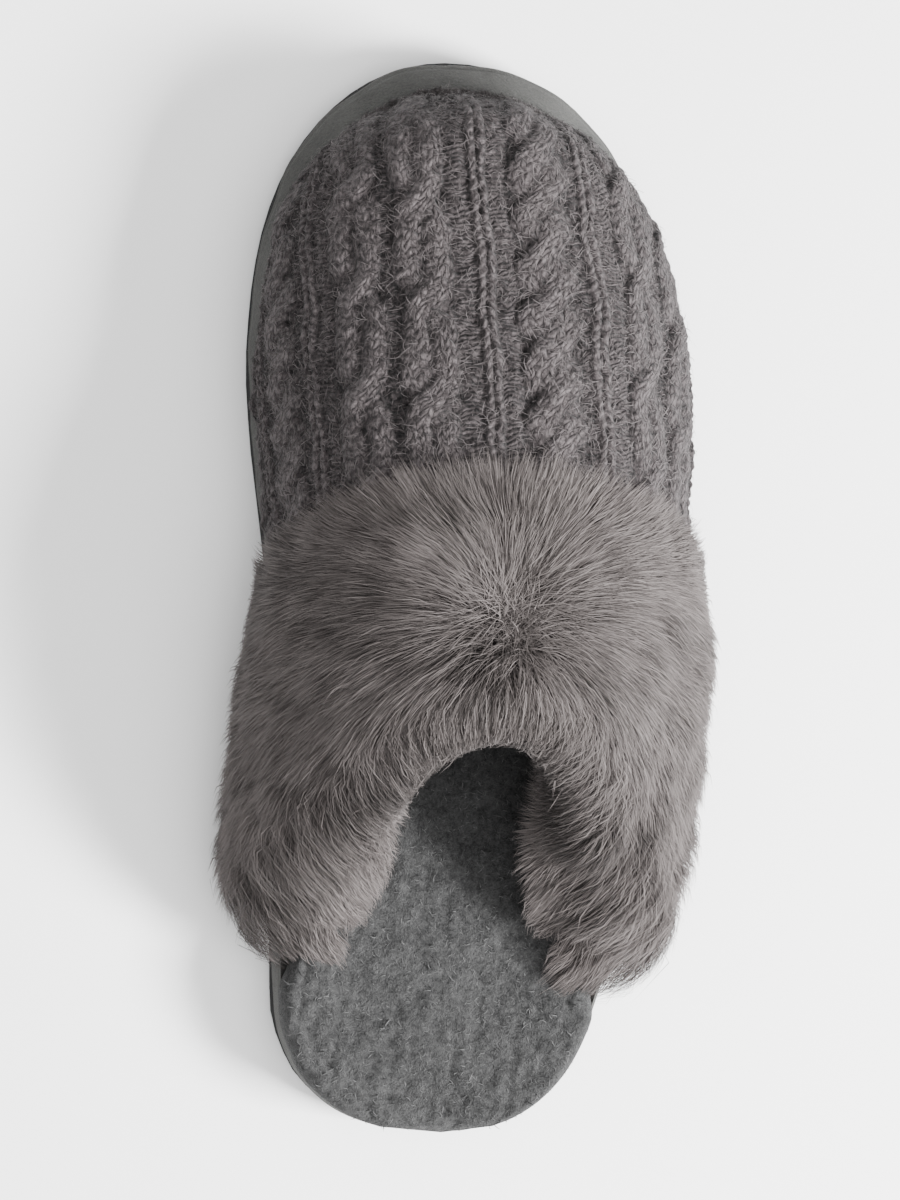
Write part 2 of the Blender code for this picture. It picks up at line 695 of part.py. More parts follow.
def evaluated_bounds(pieces):
    """Lowest and highest corner of the finished pieces."""
    bpy.context.view_layer.update()
    depsgraph = bpy.context.evaluated_depsgraph_get()
    corners = []
    for piece in pieces:
        mesh = piece.evaluated_get(depsgraph).data
        points = np.zeros(3 * len(mesh.vertices))
        mesh.vertices.foreach_get("co", points)
        corners.append(points.reshape(-1, 3))
    points = np.concatenate(corners)
    return points.min(axis=0), points.max(axis=0)


def main():
    """Build the slipper and centre it over the origin."""
    for old in list(bpy.data.objects):
        bpy.data.objects.remove(old, do_unlink=True)
    lines, turns, angles = vamp_grid()
    pieces = [
        build_outsole(make_finish("dark_rubber", (0.026, 0.026, 0.027), 0.80)),
        build_midsole(make_finish("grey_suede", (0.107, 0.107, 0.098), 0.92)),
        build_insole(make_finish("grey_fleece", (0.127, 0.127, 0.127), 0.97)),
        build_upper(make_finish("taupe_knit", (0.141, 0.122, 0.122), 0.95), lines, turns, angles),
        build_cuff(make_finish("taupe_fur", (0.242, 0.205, 0.188), 0.85), turns, angles),
    ]
    low, high = evaluated_bounds(pieces)
    slipper = bpy.data.objects.new("slipper_centre", None)
    bpy.context.scene.collection.objects.link(slipper)
    slipper.location = (-0.5 * (low[0] + high[0]), -0.5 * (low[1] + high[1]), 0.0)
    for piece in pieces:
        piece.parent = slipper


main()
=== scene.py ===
"""Looks of the knitted slipper: knit, fur, fleece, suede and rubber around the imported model.

Metres, +Z up, toe toward +Y, lateral side toward +X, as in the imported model. The last and its
sections are worked out as the solids' are, so every piece lies where its solid lies. A place
along the shoe is a turn u from 0 at the heel end to 1 at the toe tip, and a place around the
upper is an angle from 0 at the medial feather edge to pi at the lateral one.
"""
import logging
import math
from dataclasses import dataclass, field
from enum import Enum
from typing import Any, NamedTuple, Optional, Sequence, Union

import bpy
import numpy as np
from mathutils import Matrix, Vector


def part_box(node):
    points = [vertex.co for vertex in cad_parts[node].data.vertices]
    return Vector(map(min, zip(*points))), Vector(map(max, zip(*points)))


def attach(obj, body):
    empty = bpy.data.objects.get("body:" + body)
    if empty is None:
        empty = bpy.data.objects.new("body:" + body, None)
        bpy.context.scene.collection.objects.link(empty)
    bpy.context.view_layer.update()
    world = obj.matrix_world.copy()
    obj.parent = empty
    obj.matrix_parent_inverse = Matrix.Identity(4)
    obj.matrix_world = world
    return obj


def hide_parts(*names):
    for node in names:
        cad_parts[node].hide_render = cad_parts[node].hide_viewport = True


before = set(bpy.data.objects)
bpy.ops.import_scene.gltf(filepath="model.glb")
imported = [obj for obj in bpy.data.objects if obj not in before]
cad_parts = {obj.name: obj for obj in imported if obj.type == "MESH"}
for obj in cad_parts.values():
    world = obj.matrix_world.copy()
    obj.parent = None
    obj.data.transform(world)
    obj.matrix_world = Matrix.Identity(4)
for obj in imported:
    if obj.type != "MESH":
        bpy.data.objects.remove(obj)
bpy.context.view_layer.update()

log = logging.getLogger("slipper")

Array = np.ndarray
Colour = tuple[float, float, float]

MM = 0.001
MEDIAL, LATERAL = -1.0, 1.0
SEGMENTS = 3


class Edge(NamedTuple):
    """Sole outline at a station: both edges as shares of a named width."""

    station: float
    width: str
    medial: float
    lateral: float


class Section(NamedTuple):
    """Shares of the named heights at a station; square is the exponent of the section's arch."""

    station: float
    spring: float
    arch: float
    platform: float
    footbed: float
    crown: float
    square: float
    lean: float


OUTLINE = (
    Edge(0.000, "heel", -0.108, -0.108),
    Edge(0.009, "heel", -0.325, 0.080),
    Edge(0.028, "heel", -0.451, 0.196),
    Edge(0.066, "heel", -0.561, 0.306),
    Edge(0.122, "heel", -0.613, 0.384),
    Edge(0.216, "waist", -0.575, 0.420),
    Edge(0.310, "waist", -0.570, 0.473),
    Edge(0.400, "ball", -0.458, 0.421),
    Edge(0.500, "ball", -0.466, 0.459),
    Edge(0.572, "ball", -0.483, 0.478),
    Edge(0.647, "ball", -0.504, 0.487),
    Edge(0.713, "ball", -0.513, 0.487),
    Edge(0.779, "ball", -0.503, 0.466),
    Edge(0.835, "ball", -0.481, 0.425),
    Edge(0.891, "ball", -0.435, 0.367),
    Edge(0.929, "ball", -0.380, 0.307),
    Edge(0.966, "ball", -0.293, 0.218),
    Edge(0.985, "ball", -0.219, 0.132),
    Edge(1.000, "ball", -0.061, -0.061),
)
SECTIONS = (
    Section(0.00, 0.12, 0.00, 1.00, 1.00, 0.93, 1.95, 0.03),
    Section(0.06, 0.00, 0.00, 1.00, 1.00, 0.94, 1.95, 0.03),
    Section(0.20, 0.00, 0.00, 0.98, 0.97, 0.97, 1.95, 0.04),
    Section(0.32, 0.00, 0.40, 0.95, 0.92, 1.00, 2.00, 0.05),
    Section(0.42, 0.00, 1.00, 0.92, 0.85, 0.98, 2.05, 0.07),
    Section(0.52, 0.00, 0.40, 0.90, 0.78, 0.90, 2.15, 0.10),
    Section(0.60, 0.00, 0.00, 0.90, 0.72, 0.81, 2.25, 0.14),
    Section(0.70, 0.00, 0.00, 0.90, 0.70, 0.70, 2.35, 0.19),
    Section(0.78, 0.04, 0.00, 0.90, 0.70, 0.62, 2.35, 0.26),
    Section(0.85, 0.22, 0.00, 0.92, 0.70, 0.545, 2.35, 0.38),
    Section(0.91, 0.50, 0.00, 0.95, 0.70, 0.465, 2.30, 0.58),
    Section(0.95, 0.72, 0.00, 0.97, 0.70, 0.375, 2.20, 0.78),
    Section(0.98, 0.89, 0.00, 1.00, 0.70, 0.250, 2.10, 0.94),
    Section(1.00, 1.00, 0.00, 1.00, 0.70, 0.00, 2.00, 1.00),
)


def station(u: Array) -> Array:
    """Share of the length at a turn u: (1 - cos(pi u)) / 2."""
    return 0.5 * (1.0 - np.cos(np.pi * np.asarray(u, dtype=float)))


def turn(share: Array) -> Array:
    """Turn u at a share of the length, the inverse of station."""
    return np.arccos(1.0 - 2.0 * np.clip(share, 0.0, 1.0)) / np.pi


def soft_step(low: float, high: float, value: Array) -> Array:
    """0 below low, 1 above high, and 3 s^2 - 2 s^3 between."""
    s = np.clip((np.asarray(value) - low) / (high - low), 0.0, 1.0)
    return s * s * (3.0 - 2.0 * s)


def smooth_through(knots: Array, values: Array, at: Array) -> Array:
    """Monotone cubic through (knots, values).

    Args:
        knots: Rising places of the known values.
        values: Known values.
        at: Places to read, of any shape.

    Returns:
        The values at those places.
    """
    step = np.diff(knots)
    slope = np.diff(values) / step
    product = slope[:-1] * slope[1:]
    safe = np.where(product > 0.0, slope[:-1] + slope[1:], 1.0)
    inner = np.where(product > 0.0, 2.0 * product / safe, 0.0)
    tangent = np.concatenate([slope[:1], inner, slope[-1:]])
    at = np.asarray(at, dtype=float)
    k = np.clip(np.searchsorted(knots, at, side="right") - 1, 0, len(step) - 1)
    s = (at - knots[k]) / step[k]
    return (
        (1 + 2 * s) * (1 - s) ** 2 * values[k]
        + s * (1 - s) ** 2 * step[k] * tangent[k]
        + s * s * (3 - 2 * s) * values[k + 1]
        + s * s * (s - 1) * step[k] * tangent[k + 1]
    )


def unit(vectors: Array) -> Array:
    """Vectors divided by their lengths."""
    return vectors / np.maximum(np.linalg.norm(vectors, axis=-1, keepdims=True), 1e-12)


@dataclass(frozen=True)
class Last:
    """The last and the seats on the sole, with the sizes that the solids were built from."""

    length: float = 0.2580
    ball_width: float = 0.1057
    waist_width: float = 0.0845
    heel_width: float = 0.0790
    outsole: float = 0.0060
    platform: float = 0.0105
    footbed: float = 0.0072
    toe_spring: float = 0.0065
    arch_rise: float = 0.0025
    band_lean: float = 0.0095
    instep: float = 0.0660
    wall: float = 0.0026
    bulge: float = 0.0016
    collar_lean_medial: float = 0.0140
    collar_lean_lateral: float = 0.0240
    mouth_apex: float = 0.396
    arm_end_medial: float = 0.200
    arm_end_lateral: float = 0.168
    cuff_side: float = 0.505
    cuff_top: float = 0.582
    side_step: float = 0.0008
    seat_inset: float = 0.0008
    gap: float = 0.0003
    nudge: float = 0.002
    cuff_roll: float = 0.0052

    def shift(self) -> Array:
        """Plan step from the last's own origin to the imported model's, read from the outsole.

        Returns:
            Steps along x and y, and 0 for z.
        """
        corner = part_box("outsole")[0]
        medial = self.edge(np.linspace(0.0, 1.0, 47), MEDIAL)[:, 0].min()
        return np.array([corner.x - medial, corner.y, 0.0])

    def section(self, name: str, u: Array) -> Array:
        """One column of SECTIONS at a turn u."""
        knots = turn(np.array([row.station for row in SECTIONS]))
        return smooth_through(knots, np.array([getattr(row, name) for row in SECTIONS]), u)

    def edge(self, u: Array, side: float) -> Array:
        """Plan point of the sole's outline on one side.

        Args:
            u: Turns.
            side: MEDIAL or LATERAL.

        Returns:
            Points in the last's own plan.
        """
        widths = {"heel": self.heel_width, "waist": self.waist_width, "ball": self.ball_width}
        name = "medial" if side == MEDIAL else "lateral"
        values = np.array([getattr(row, name) * widths[row.width] for row in OUTLINE])
        knots = turn(np.array([row.station for row in OUTLINE]))
        return np.stack([smooth_through(knots, values, u), self.length * station(u)], axis=-1)

    def outline(self, u: Array, side: float, inset: Union[float, Array] = 0.0) -> Array:
        """Outline moved inward by inset, along its normal in plan.

        Args:
            u: Turns.
            side: MEDIAL or LATERAL.
            inset: How far inward, one number or one a turn.

        Returns:
            Points in the last's own plan.
        """
        u = np.asarray(u, dtype=float)
        ahead = self.edge(np.clip(u + self.nudge, 0.0, 1.0), side)
        along = unit(ahead - self.edge(np.clip(u - self.nudge, 0.0, 1.0), side))
        inward = np.stack([-side * along[..., 1], side * along[..., 0]], axis=-1)
        return self.edge(u, side) + inward * np.asarray(inset)[..., None]

    def ground(self, u: Array) -> Array:
        """Height of the lugs' soles: toe spring and arch."""
        return self.toe_spring * self.section("spring", u) + self.arch_rise * self.section("arch", u)

    def midsole_base(self, u: Array) -> Array:
        """Height of the midsole's underside."""
        return self.ground(u) + self.outsole + self.gap

    def midsole_top(self, u: Array) -> Array:
        """Height of the midsole's top."""
        return self.midsole_base(u) + self.platform * self.section("platform", u)

    def seat(self, u: Array) -> Array:
        """Height at which upper and insole stand."""
        return self.midsole_top(u) + self.gap

    def feather(self, u: Array) -> Array:
        """How far inside the outline the foot of the upper stands."""
        return self.band_lean * self.section("lean", u) + self.seat_inset

    def shares(self, u: Array, angle: Array) -> tuple[Array, Array]:
        """Across (-1 to 1) and up (0 to 1) shares of the arch at an angle: |cos|^p and |sin|^p.

        Args:
            u: Turns.
            angle: Angles of the section.

        Returns:
            The share across and the share up.
        """
        power = 2.0 / self.section("square", u)
        across = -np.sign(np.cos(angle)) * np.abs(np.cos(angle)) ** power
        return across, np.abs(np.sin(angle)) ** power

    def vamp(self, u: Array, angle: Array, wall: float = 0.0) -> Array:
        """Points of the upper's outer face, or of a face `wall` inside it.

        The section at u is a rounded arch between the two feather edges, with a low bulge,
        leaning in toward the collar on both arms.

        Args:
            u: Turns.
            angle: Angles of the section, broadcast with u.
            wall: How far inside the outer face the wanted face lies.

        Returns:
            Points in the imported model's frame.
        """
        u, angle = np.broadcast_arrays(np.asarray(u, dtype=float), np.asarray(angle, dtype=float))
        across, up = self.shares(u, angle)
        inset = self.feather(u) + wall
        medial = self.outline(u, MEDIAL, inset)
        lateral = self.outline(u, LATERAL, inset)
        height = self.instep * self.section("crown", u)
        inner_height = height * height / (height + wall + 1e-9)
        middle, half = 0.5 * (medial + lateral), 0.5 * (lateral - medial)
        low = np.clip(up / 0.65, 0.0, 1.0)
        swell = soft_step(0.0, 0.4, height / self.instep)
        bulge = self.bulge * np.sign(across) * 4.0 * low * (1.0 - low) * swell
        rear = 1.0 - soft_step(0.20, 0.48, station(u))
        lean = np.where(across < 0.0, self.collar_lean_medial, -self.collar_lean_lateral)
        floor = 1.3 * self.footbed / self.instep
        above = np.clip((up - floor) / (1.0 - floor), 0.0, 1.0)
        lean = lean * np.abs(across) * (1.35 - 0.35 * across**2) * above * rear
        x = middle[..., 0] + across * half[..., 0] + bulge + lean
        y = middle[..., 1] + across * half[..., 1]
        return np.stack([x, y, self.seat(u) + inner_height * up], axis=-1) + self.shift()

    def mouth(self, angle: Array) -> Array:
        """Turn of the collar's slanted cut at an angle, settled in a few rounds.

        Args:
            angle: Angles around the upper.

        Returns:
            One turn an angle.
        """
        u = turn(np.full(np.shape(angle), self.mouth_apex))
        for _ in range(4):
            across, up = self.shares(u, angle)
            end = np.where(across < 0.0, self.arm_end_medial, self.arm_end_lateral)
            u = turn(end + (self.mouth_apex - end) * up)
        return u

    def cuff_front(self, angle: Array) -> Array:
        """Turn of the cuff's front hem at an angle.

        Args:
            angle: Angles around the upper.

        Returns:
            One turn an angle.
        """
        u = turn(np.full(np.shape(angle), self.cuff_top))
        for _ in range(4):
            u = turn(self.cuff_side + (self.cuff_top - self.cuff_side) * self.shares(u, angle)[1])
        return u


LAST = Last()


def grid_quads(rows: int, columns: int, shift: int = 0, wrap: bool = False) -> Array:
    """Quads of a grid whose rows run one way and columns the other, facing rows x columns.

    Args:
        rows: Number of rows.
        columns: Number of columns.
        shift: Index of the grid's first point.
        wrap: Whether the last column joins the first.

    Returns:
        An array of four indices a face.
    """
    i, j = np.meshgrid(np.arange(rows - 1), np.arange(columns if wrap else columns - 1), indexing="ij")
    here, below = i * columns, (i + 1) * columns
    k = (j + 1) % columns
    quads = np.stack([here + j, here + k, below + k, below + j], axis=-1)
    return quads.reshape(-1, 4) + shift


def grid_normals(points: Array) -> Array:
    """Unit normals of a grid of points, the cross of its column step and its row step.

    Args:
        points: Rows and columns of points.

    Returns:
        One unit vector a point.
    """
    down = np.gradient(points, axis=0)
    across = np.gradient(points, axis=1)
    return unit(np.cross(across, down))


def make_piece(
    name: str,
    points: Array,
    faces: Sequence[Array],
    finish: bpy.types.Material,
    values: Optional[dict[str, Array]] = None,
    uv: Optional[Array] = None,
) -> bpy.types.Object:
    """Mesh object at the origin from whole arrays.

    Args:
        name: The piece's name.
        points: Corners, one row each.
        faces: Arrays of indices, three or four columns each.
        finish: Its material.
        values: Named numbers, one a corner, kept as attributes.
        uv: Two numbers a corner for the UV map.

    Returns:
        The object, shaded smooth.
    """
    mesh = bpy.data.meshes.new(name)
    points = points.reshape(-1, 3)
    mesh.vertices.add(len(points))
    mesh.vertices.foreach_set("co", points.astype(np.float32).ravel())
    sizes = np.concatenate([np.full(len(face), face.shape[1]) for face in faces])
    corners = np.concatenate([face.ravel() for face in faces]).astype(np.int32)
    mesh.loops.add(len(corners))
    mesh.loops.foreach_set("vertex_index", corners)
    mesh.polygons.add(len(sizes))
    mesh.polygons.foreach_set("loop_start", np.concatenate([[0], np.cumsum(sizes)[:-1]]).astype(np.int32))
    mesh.polygons.foreach_set("use_smooth", np.ones(len(sizes), dtype=bool))
    mesh.update(calc_edges=True)
    for key, numbers in (values or {}).items():
        attribute = mesh.attributes.new(key, "FLOAT", "POINT")
        attribute.data.foreach_set("value", numbers.astype(np.float32).ravel())
    if uv is not None:
        layer = mesh.uv_layers.new(name="UVMap")
        layer.data.foreach_set("uv", uv.reshape(-1, 2)[corners].astype(np.float32).ravel())
    mesh.materials.append(finish)
    made = bpy.data.objects.new(name, mesh)
    bpy.context.scene.collection.objects.link(made)
    return made


def settle(piece: bpy.types.Object, slot: str, *nodes: str) -> bpy.types.Object:
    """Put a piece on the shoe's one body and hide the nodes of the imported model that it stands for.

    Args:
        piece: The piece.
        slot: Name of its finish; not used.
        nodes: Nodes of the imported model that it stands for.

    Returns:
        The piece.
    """
    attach(piece, "root")
    if nodes:
        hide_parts(*nodes)
    log.info("%s: %d faces", piece.name, len(piece.data.polygons))
    return piece


def ripple(points: Array, size: float, seed: int, waves: int = 9) -> Array:
    """Soft noise from -1 to 1: the mean of sines of random direction and phase.

    Args:
        points: Places, three numbers each.
        size: Rough width of one bump in metres.
        seed: Seed of the directions.
        waves: How many sines are summed.

    Returns:
        One number a place.
    """
    rng = np.random.default_rng(seed)
    total = np.zeros(points.shape[:-1])
    for _ in range(waves):
        direction = unit(rng.normal(size=3)) * rng.uniform(0.6, 1.5) * np.pi / size
        total += np.sin(points @ direction + rng.uniform(0.0, 2.0 * np.pi))
    return total / math.sqrt(waves)


class Value:
    """A socket of a shader graph that takes part in Python arithmetic."""

    def __init__(self, graph: "Graph", socket: bpy.types.NodeSocket) -> None:
        """Keep the graph and the socket."""
        self.graph = graph
        self.socket = socket

    def __add__(self, other: "Number") -> "Value":
        """Sum."""
        return self.graph.math("ADD", self, other)

    def __sub__(self, other: "Number") -> "Value":
        """Difference."""
        return self.graph.math("SUBTRACT", self, other)

    def __rsub__(self, other: "Number") -> "Value":
        """Difference, from the right."""
        return self.graph.math("SUBTRACT", other, self)

    def __mul__(self, other: "Number") -> "Value":
        """Product."""
        return self.graph.math("MULTIPLY", self, other)

    def __pow__(self, other: "Number") -> "Value":
        """Power."""
        return self.graph.math("POWER", self, other)

    def within(self) -> "Value":
        """Clamped to 0 to 1."""
        return self.graph.math("ADD", self, 0.0, clamp=True)

    def sine(self) -> "Value":
        """Sine."""
        return self.graph.math("SINE", self)

    def size(self) -> "Value":
        """Absolute value."""
        return self.graph.math("ABSOLUTE", self)

    def fraction(self) -> "Value":
        """Part after the point."""
        return self.graph.math("FRACT", self)


Number = Union[float, Value]


class Graph:
    """Shader graph of one material around a Principled shader."""

    def __init__(self, name: str, **constants: float) -> None:
        """Make the material and set the shader's own constants.

        Args:
            name: The material's name.
            constants: Shader sockets by name, with _ for a space.
        """
        self.material = bpy.data.materials.new(name)
        self.material.use_nodes = True
        self.tree = self.material.node_tree
        self.shader = self.tree.nodes["Principled BSDF"]
        for key, number in constants.items():
            self.shader.inputs[key.replace("_", " ")].default_value = number

    def add(self, kind: str, settings: dict[str, Any], sockets: dict[Any, Any], output: Any = 0) -> Value:
        """Add a node.

        Args:
            kind: Blender's name of the node's type.
            settings: Attributes set first; `stops` fills a ramp with (place, grey or colour).
            sockets: Values or links of its inputs, by name or number.
            output: Which output is wanted.

        Returns:
            That output as a value.
        """
        node = self.tree.nodes.new(kind)
        for key, setting in settings.items():
            if key == "stops":
                ramp = node.color_ramp
                while len(ramp.elements) < len(setting):
                    ramp.elements.new(0.5)
                for element, (place, colour) in zip(ramp.elements, setting):
                    element.position = place
                    element.color = (*colour, 1.0) if isinstance(colour, tuple) else (colour,) * 3 + (1.0,)
            else:
                setattr(node, key, setting)
        for key, given in sockets.items():
            if isinstance(given, Value):
                self.tree.links.new(given.socket, node.inputs[key])
            elif isinstance(given, tuple) and len(given) == 3 and node.inputs[key].type == "RGBA":
                node.inputs[key].default_value = (*given, 1.0)
            else:
                node.inputs[key].default_value = given
        return Value(self, node.outputs[output])

    def math(self, operation: str, first: Number, second: Number = 0.0, clamp: bool = False) -> Value:
        """Math node of an operation on one or two values."""
        settings = {"operation": operation, "use_clamp": clamp}
        return self.add("ShaderNodeMath", settings, {0: first, 1: second})

    def attribute(self, name: str) -> Value:
        """Number kept on the piece's corners."""
        return self.add("ShaderNodeAttribute", {"attribute_name": name}, {}, "Fac")

    def place(self, stretch: tuple[float, float, float] = (1.0, 1.0, 1.0)) -> Value:
        """Object coordinates, stretched axis by axis."""
        where = self.add("ShaderNodeTexCoord", {}, {}, "Object")
        return self.add("ShaderNodeMapping", {}, {"Vector": where, "Scale": stretch})

    def noise(self, where: Value, scale: float, detail: float = 3.0, rough: float = 0.6) -> Value:
        """Noise from 0 to 1 with about `scale` bumps a metre."""
        sockets = {"Vector": where, "Scale": scale, "Detail": detail, "Roughness": rough}
        return self.add("ShaderNodeTexNoise", {}, sockets, 0)

    def mix(self, share: Number, first: Union[Colour, Value], second: Union[Colour, Value]) -> Value:
        """Colour between two colours."""
        return self.add("ShaderNodeMix", {"data_type": "RGBA"}, {0: share, 6: first, 7: second}, 2)

    def bump(self, height: Value, distance: float, strength: float = 1.0) -> Value:
        """Normal bent by a height."""
        sockets = {"Height": height, "Distance": distance, "Strength": strength}
        return self.add("ShaderNodeBump", {}, sockets)

    def finish(self, **links: Value) -> bpy.types.Material:
        """Link values to the shader's sockets, named with _ for a space.

        Args:
            links: Values by the socket's name, with _ for a space.

        Returns:
            The material.
        """
        for key, given in links.items():
            self.tree.links.new(given.socket, self.shader.inputs[key.replace("_", " ")])
        return self.material


@dataclass(frozen=True)
class KnitFinish:
    """Fuzzy heathered yarn: V stitches, purl bumps and stray light fibres, with painted shade in the gaps
    and sunk parts and painted light on the raised parts.
    """

    # The dark end is painted shade in the gaps and sunk parts; the light end is painted light on the raised
    # parts, and also the light stray fibres.
    gap_shade: Colour = (0.0030, 0.0025, 0.0026)
    yarn: Colour = (0.031, 0.0262, 0.0268)
    light: Colour = (0.090, 0.079, 0.080)
    edge: Colour = (0.060, 0.055, 0.053)

    def material(self) -> bpy.types.Material:
        """Colour and bump from the stitches' own coordinates and the relief's height; the colour carries
        painted shade in the gaps between loops and the sunk parts, and painted light on the raised parts.

        Returns:
            The material.
        """
        g = Graph("taupe_knit", Roughness=0.95, Specular_IOR_Level=0.15, Sheen_Weight=0.05)
        uv = g.add("ShaderNodeUVMap", {"uv_map": "UVMap"}, {})
        wale = g.add("ShaderNodeSeparateXYZ", {}, {0: uv}, 0)
        row = g.add("ShaderNodeSeparateXYZ", {}, {0: uv}, 1)
        where = g.place()
        stray = g.noise(where, 620.0, 3.0, 0.7)
        wander = g.noise(where, 340.0, 2.0) - 0.5
        leg = ((wale + wander * 0.9).fraction() * 2.0 - 1.0).size()
        loop = ((row + leg * 0.55 + wander * 1.3).fraction() * math.pi).sine()
        legs = ((wale + wander * 0.9) * (2.0 * math.pi)).sine().size()
        plain = loop**0.7 * (legs**0.5 * 0.75 + 0.25)
        bumps = ((row * 2.0 + wander * 2.4).fraction() * math.pi).sine() ** 0.8
        purl = g.attribute("purl")
        stitch = plain * (1.0 - purl) + bumps * purl
        fibre = g.noise(g.place((1.0, 0.45, 1.0)), 1300.0, 5.0, 0.78)
        patch = g.noise(where, 55.0, 2.0)
        # Painted shade and light: sunk parts and the gaps between loops darker, raised parts lighter, with
        # random patches.
        depth = g.attribute("raised") * 0.42 + stitch * 0.36 + patch * 0.25
        shade = (depth + (fibre - 0.5) * 1.7 + (stray - 0.5) * 1.3 - 0.12).within()
        ramp = {"stops": [(0.0, self.gap_shade), (0.46, self.yarn), (1.0, self.light)]}
        yarn = g.add("ShaderNodeValToRGB", ramp, {"Fac": shade})
        colour = g.mix(g.attribute("edge") * 0.35, yarn, self.edge)
        height = stitch * 0.65 + fibre * 0.50 + stray * 0.45
        return g.finish(Base_Color=colour, Normal=g.bump(height, 0.0009, 0.9))


@dataclass(frozen=True)
class FibreFinish:
    """Fine fibres, dark at the root as painted shade deep in the pile and lighter at the tip, each with its
    own tone.
    """

    name: str
    root: Colour
    middle: Colour
    tip: Colour
    spread: float = 0.35
    sheen: float = 0.03
    rough: float = 0.75

    def material(self) -> bpy.types.Material:
        """Colour from the place along the fibre and its tone; the dark root is painted shade.

        Returns:
            The material.
        """
        g = Graph(self.name, Specular_IOR_Level=0.2, Sheen_Weight=self.sheen)
        along = g.attribute("along")
        tone = g.attribute("tone")
        share = (along + (tone - 0.5) * self.spread).within()
        # The root end of the ramp is painted shade deep in the pile.
        ramp = {"stops": [(0.0, self.root), (0.5, self.middle), (1.0, self.tip)]}
        colour = g.add("ShaderNodeValToRGB", ramp, {"Fac": share})
        roughness = g.noise(g.place(), 300.0) * 0.2 + (self.rough - 0.1)
        return g.finish(Base_Color=colour, Roughness=roughness)


@dataclass(frozen=True)
class FleeceFinish:
    """Short curled pile, mottled at several sizes."""

    name: str
    dark: Colour
    light: Colour
    rough: float = 0.97

    def material(self) -> bpy.types.Material:
        """Mottled colour and a curly bump.

        Returns:
            The material.
        """
        g = Graph(self.name, Roughness=self.rough, Specular_IOR_Level=0.15, Sheen_Weight=0.05)
        where = g.place()
        broad = g.noise(where, 70.0, 3.0)
        curls = g.noise(where, 600.0, 4.0, 0.7)
        fine = g.noise(where, 2200.0, 3.0, 0.7)
        shade = ((broad - 0.5) * 0.6 + (curls - 0.5) * 1.7 + (fine - 0.5) * 1.3 + 0.48).within()
        colour = g.mix(shade, self.dark, self.light)
        return g.finish(Base_Color=colour, Normal=g.bump(curls + fine * 0.6, 0.0012, 0.9))


FLEECE_PILE = FibreFinish(
    "fleece_pile", (0.012, 0.012, 0.012), (0.036, 0.036, 0.036), (0.078, 0.078, 0.078), spread=0.9
)
KNIT_FUZZ = FibreFinish(
    "knit_fuzz", (0.028, 0.024, 0.024), (0.055, 0.048, 0.048), (0.115, 0.102, 0.103), spread=0.9
)
TAUPE_FUR = FibreFinish(
    "taupe_fur", (0.0075, 0.0062, 0.0059), (0.038, 0.0321, 0.0306), (0.098, 0.0855, 0.0825), spread=0.5
)
GREY_FLEECE = FleeceFinish("grey_fleece", (0.009, 0.009, 0.0093), (0.056, 0.056, 0.056))
GREY_LINING = FleeceFinish("grey_lining", (0.010, 0.010, 0.0105), (0.040, 0.039, 0.038))
# The fur's skin is dark as painted shade under the pile.
FUR_SKIN = FleeceFinish("fur_skin", (0.006, 0.005, 0.0047), (0.022, 0.019, 0.0175))


@dataclass(frozen=True)
class SuedeFinish:
    """Brushed suede: fine nap, soft patches, a little wear toward the top edge."""

    dark: Colour = (0.026, 0.026, 0.0246)
    light: Colour = (0.072, 0.072, 0.0680)

    def material(self) -> bpy.types.Material:
        """Nap and patches.

        Returns:
            The material.
        """
        g = Graph("grey_suede", Roughness=0.9, Specular_IOR_Level=0.15, Sheen_Weight=0.06)
        where = g.place()
        patches = g.noise(where, 60.0, 4.0)
        nap = g.noise(where, 1700.0, 4.0, 0.7)
        pores = g.noise(where, 500.0, 2.0)
        worn = g.attribute("worn")
        shade = ((patches - 0.5) * 1.1 + (nap - 0.5) * 1.3 + worn * 0.3 + 0.42).within()
        colour = g.mix(shade, self.dark, self.light)
        return g.finish(Base_Color=colour, Normal=g.bump(nap * 0.7 + pores * 0.5, 0.0005, 0.8))


@dataclass(frozen=True)
class RubberFinish:
    """Matt dark rubber with a fine moulded grain and scuffs on the tread."""

    dark: Colour = (0.010, 0.010, 0.0105)
    scuffed: Colour = (0.034, 0.034, 0.033)

    def material(self) -> bpy.types.Material:
        """Grain, scuffs and uneven gloss.

        Returns:
            The material.
        """
        g = Graph("dark_rubber", Specular_IOR_Level=0.35)
        where = g.place()
        grain = g.noise(where, 1400.0, 2.0)
        scuffs = g.noise(g.place((1.0, 0.25, 1.0)), 180.0, 5.0, 0.7)
        worn = ((scuffs - 0.52) * 4.0).within()
        colour = g.mix(worn * 0.6, self.dark, self.scuffed)
        return g.finish(
            Base_Color=colour,
            Roughness=worn * 0.2 + 0.62,
            Normal=g.bump(grain + scuffs * 0.4, 0.00025, 0.7),
        )


@dataclass(frozen=True)
class PlainFinish:
    """Even paper-like finish of the floor."""

    colour: Colour = (0.86, 0.86, 0.86)
    cloudy: Colour = (0.84, 0.84, 0.84)

    def material(self) -> bpy.types.Material:
        """Faint cloudiness only.

        Returns:
            The material.
        """
        g = Graph("pale_floor", Roughness=0.9)
        cloud = g.noise(g.place(), 3.0, 2.0)
        colour = g.mix(cloud * 0.1, self.colour, self.cloudy)
        return g.finish(Base_Color=colour)


class Stitch(Enum):
    """Kinds of column in the knit."""

    RIB = "rib"
    LADDER = "ladder"
    CABLE = "cable"
    ROPE = "rope"
    SLIT = "slit"


class Column(NamedTuple):
    """A column of the knit: its kind, width, where along the shoe it crosses, and which way."""

    stitch: Stitch
    width: float
    crossing: float = 0.0
    way: float = 1.0
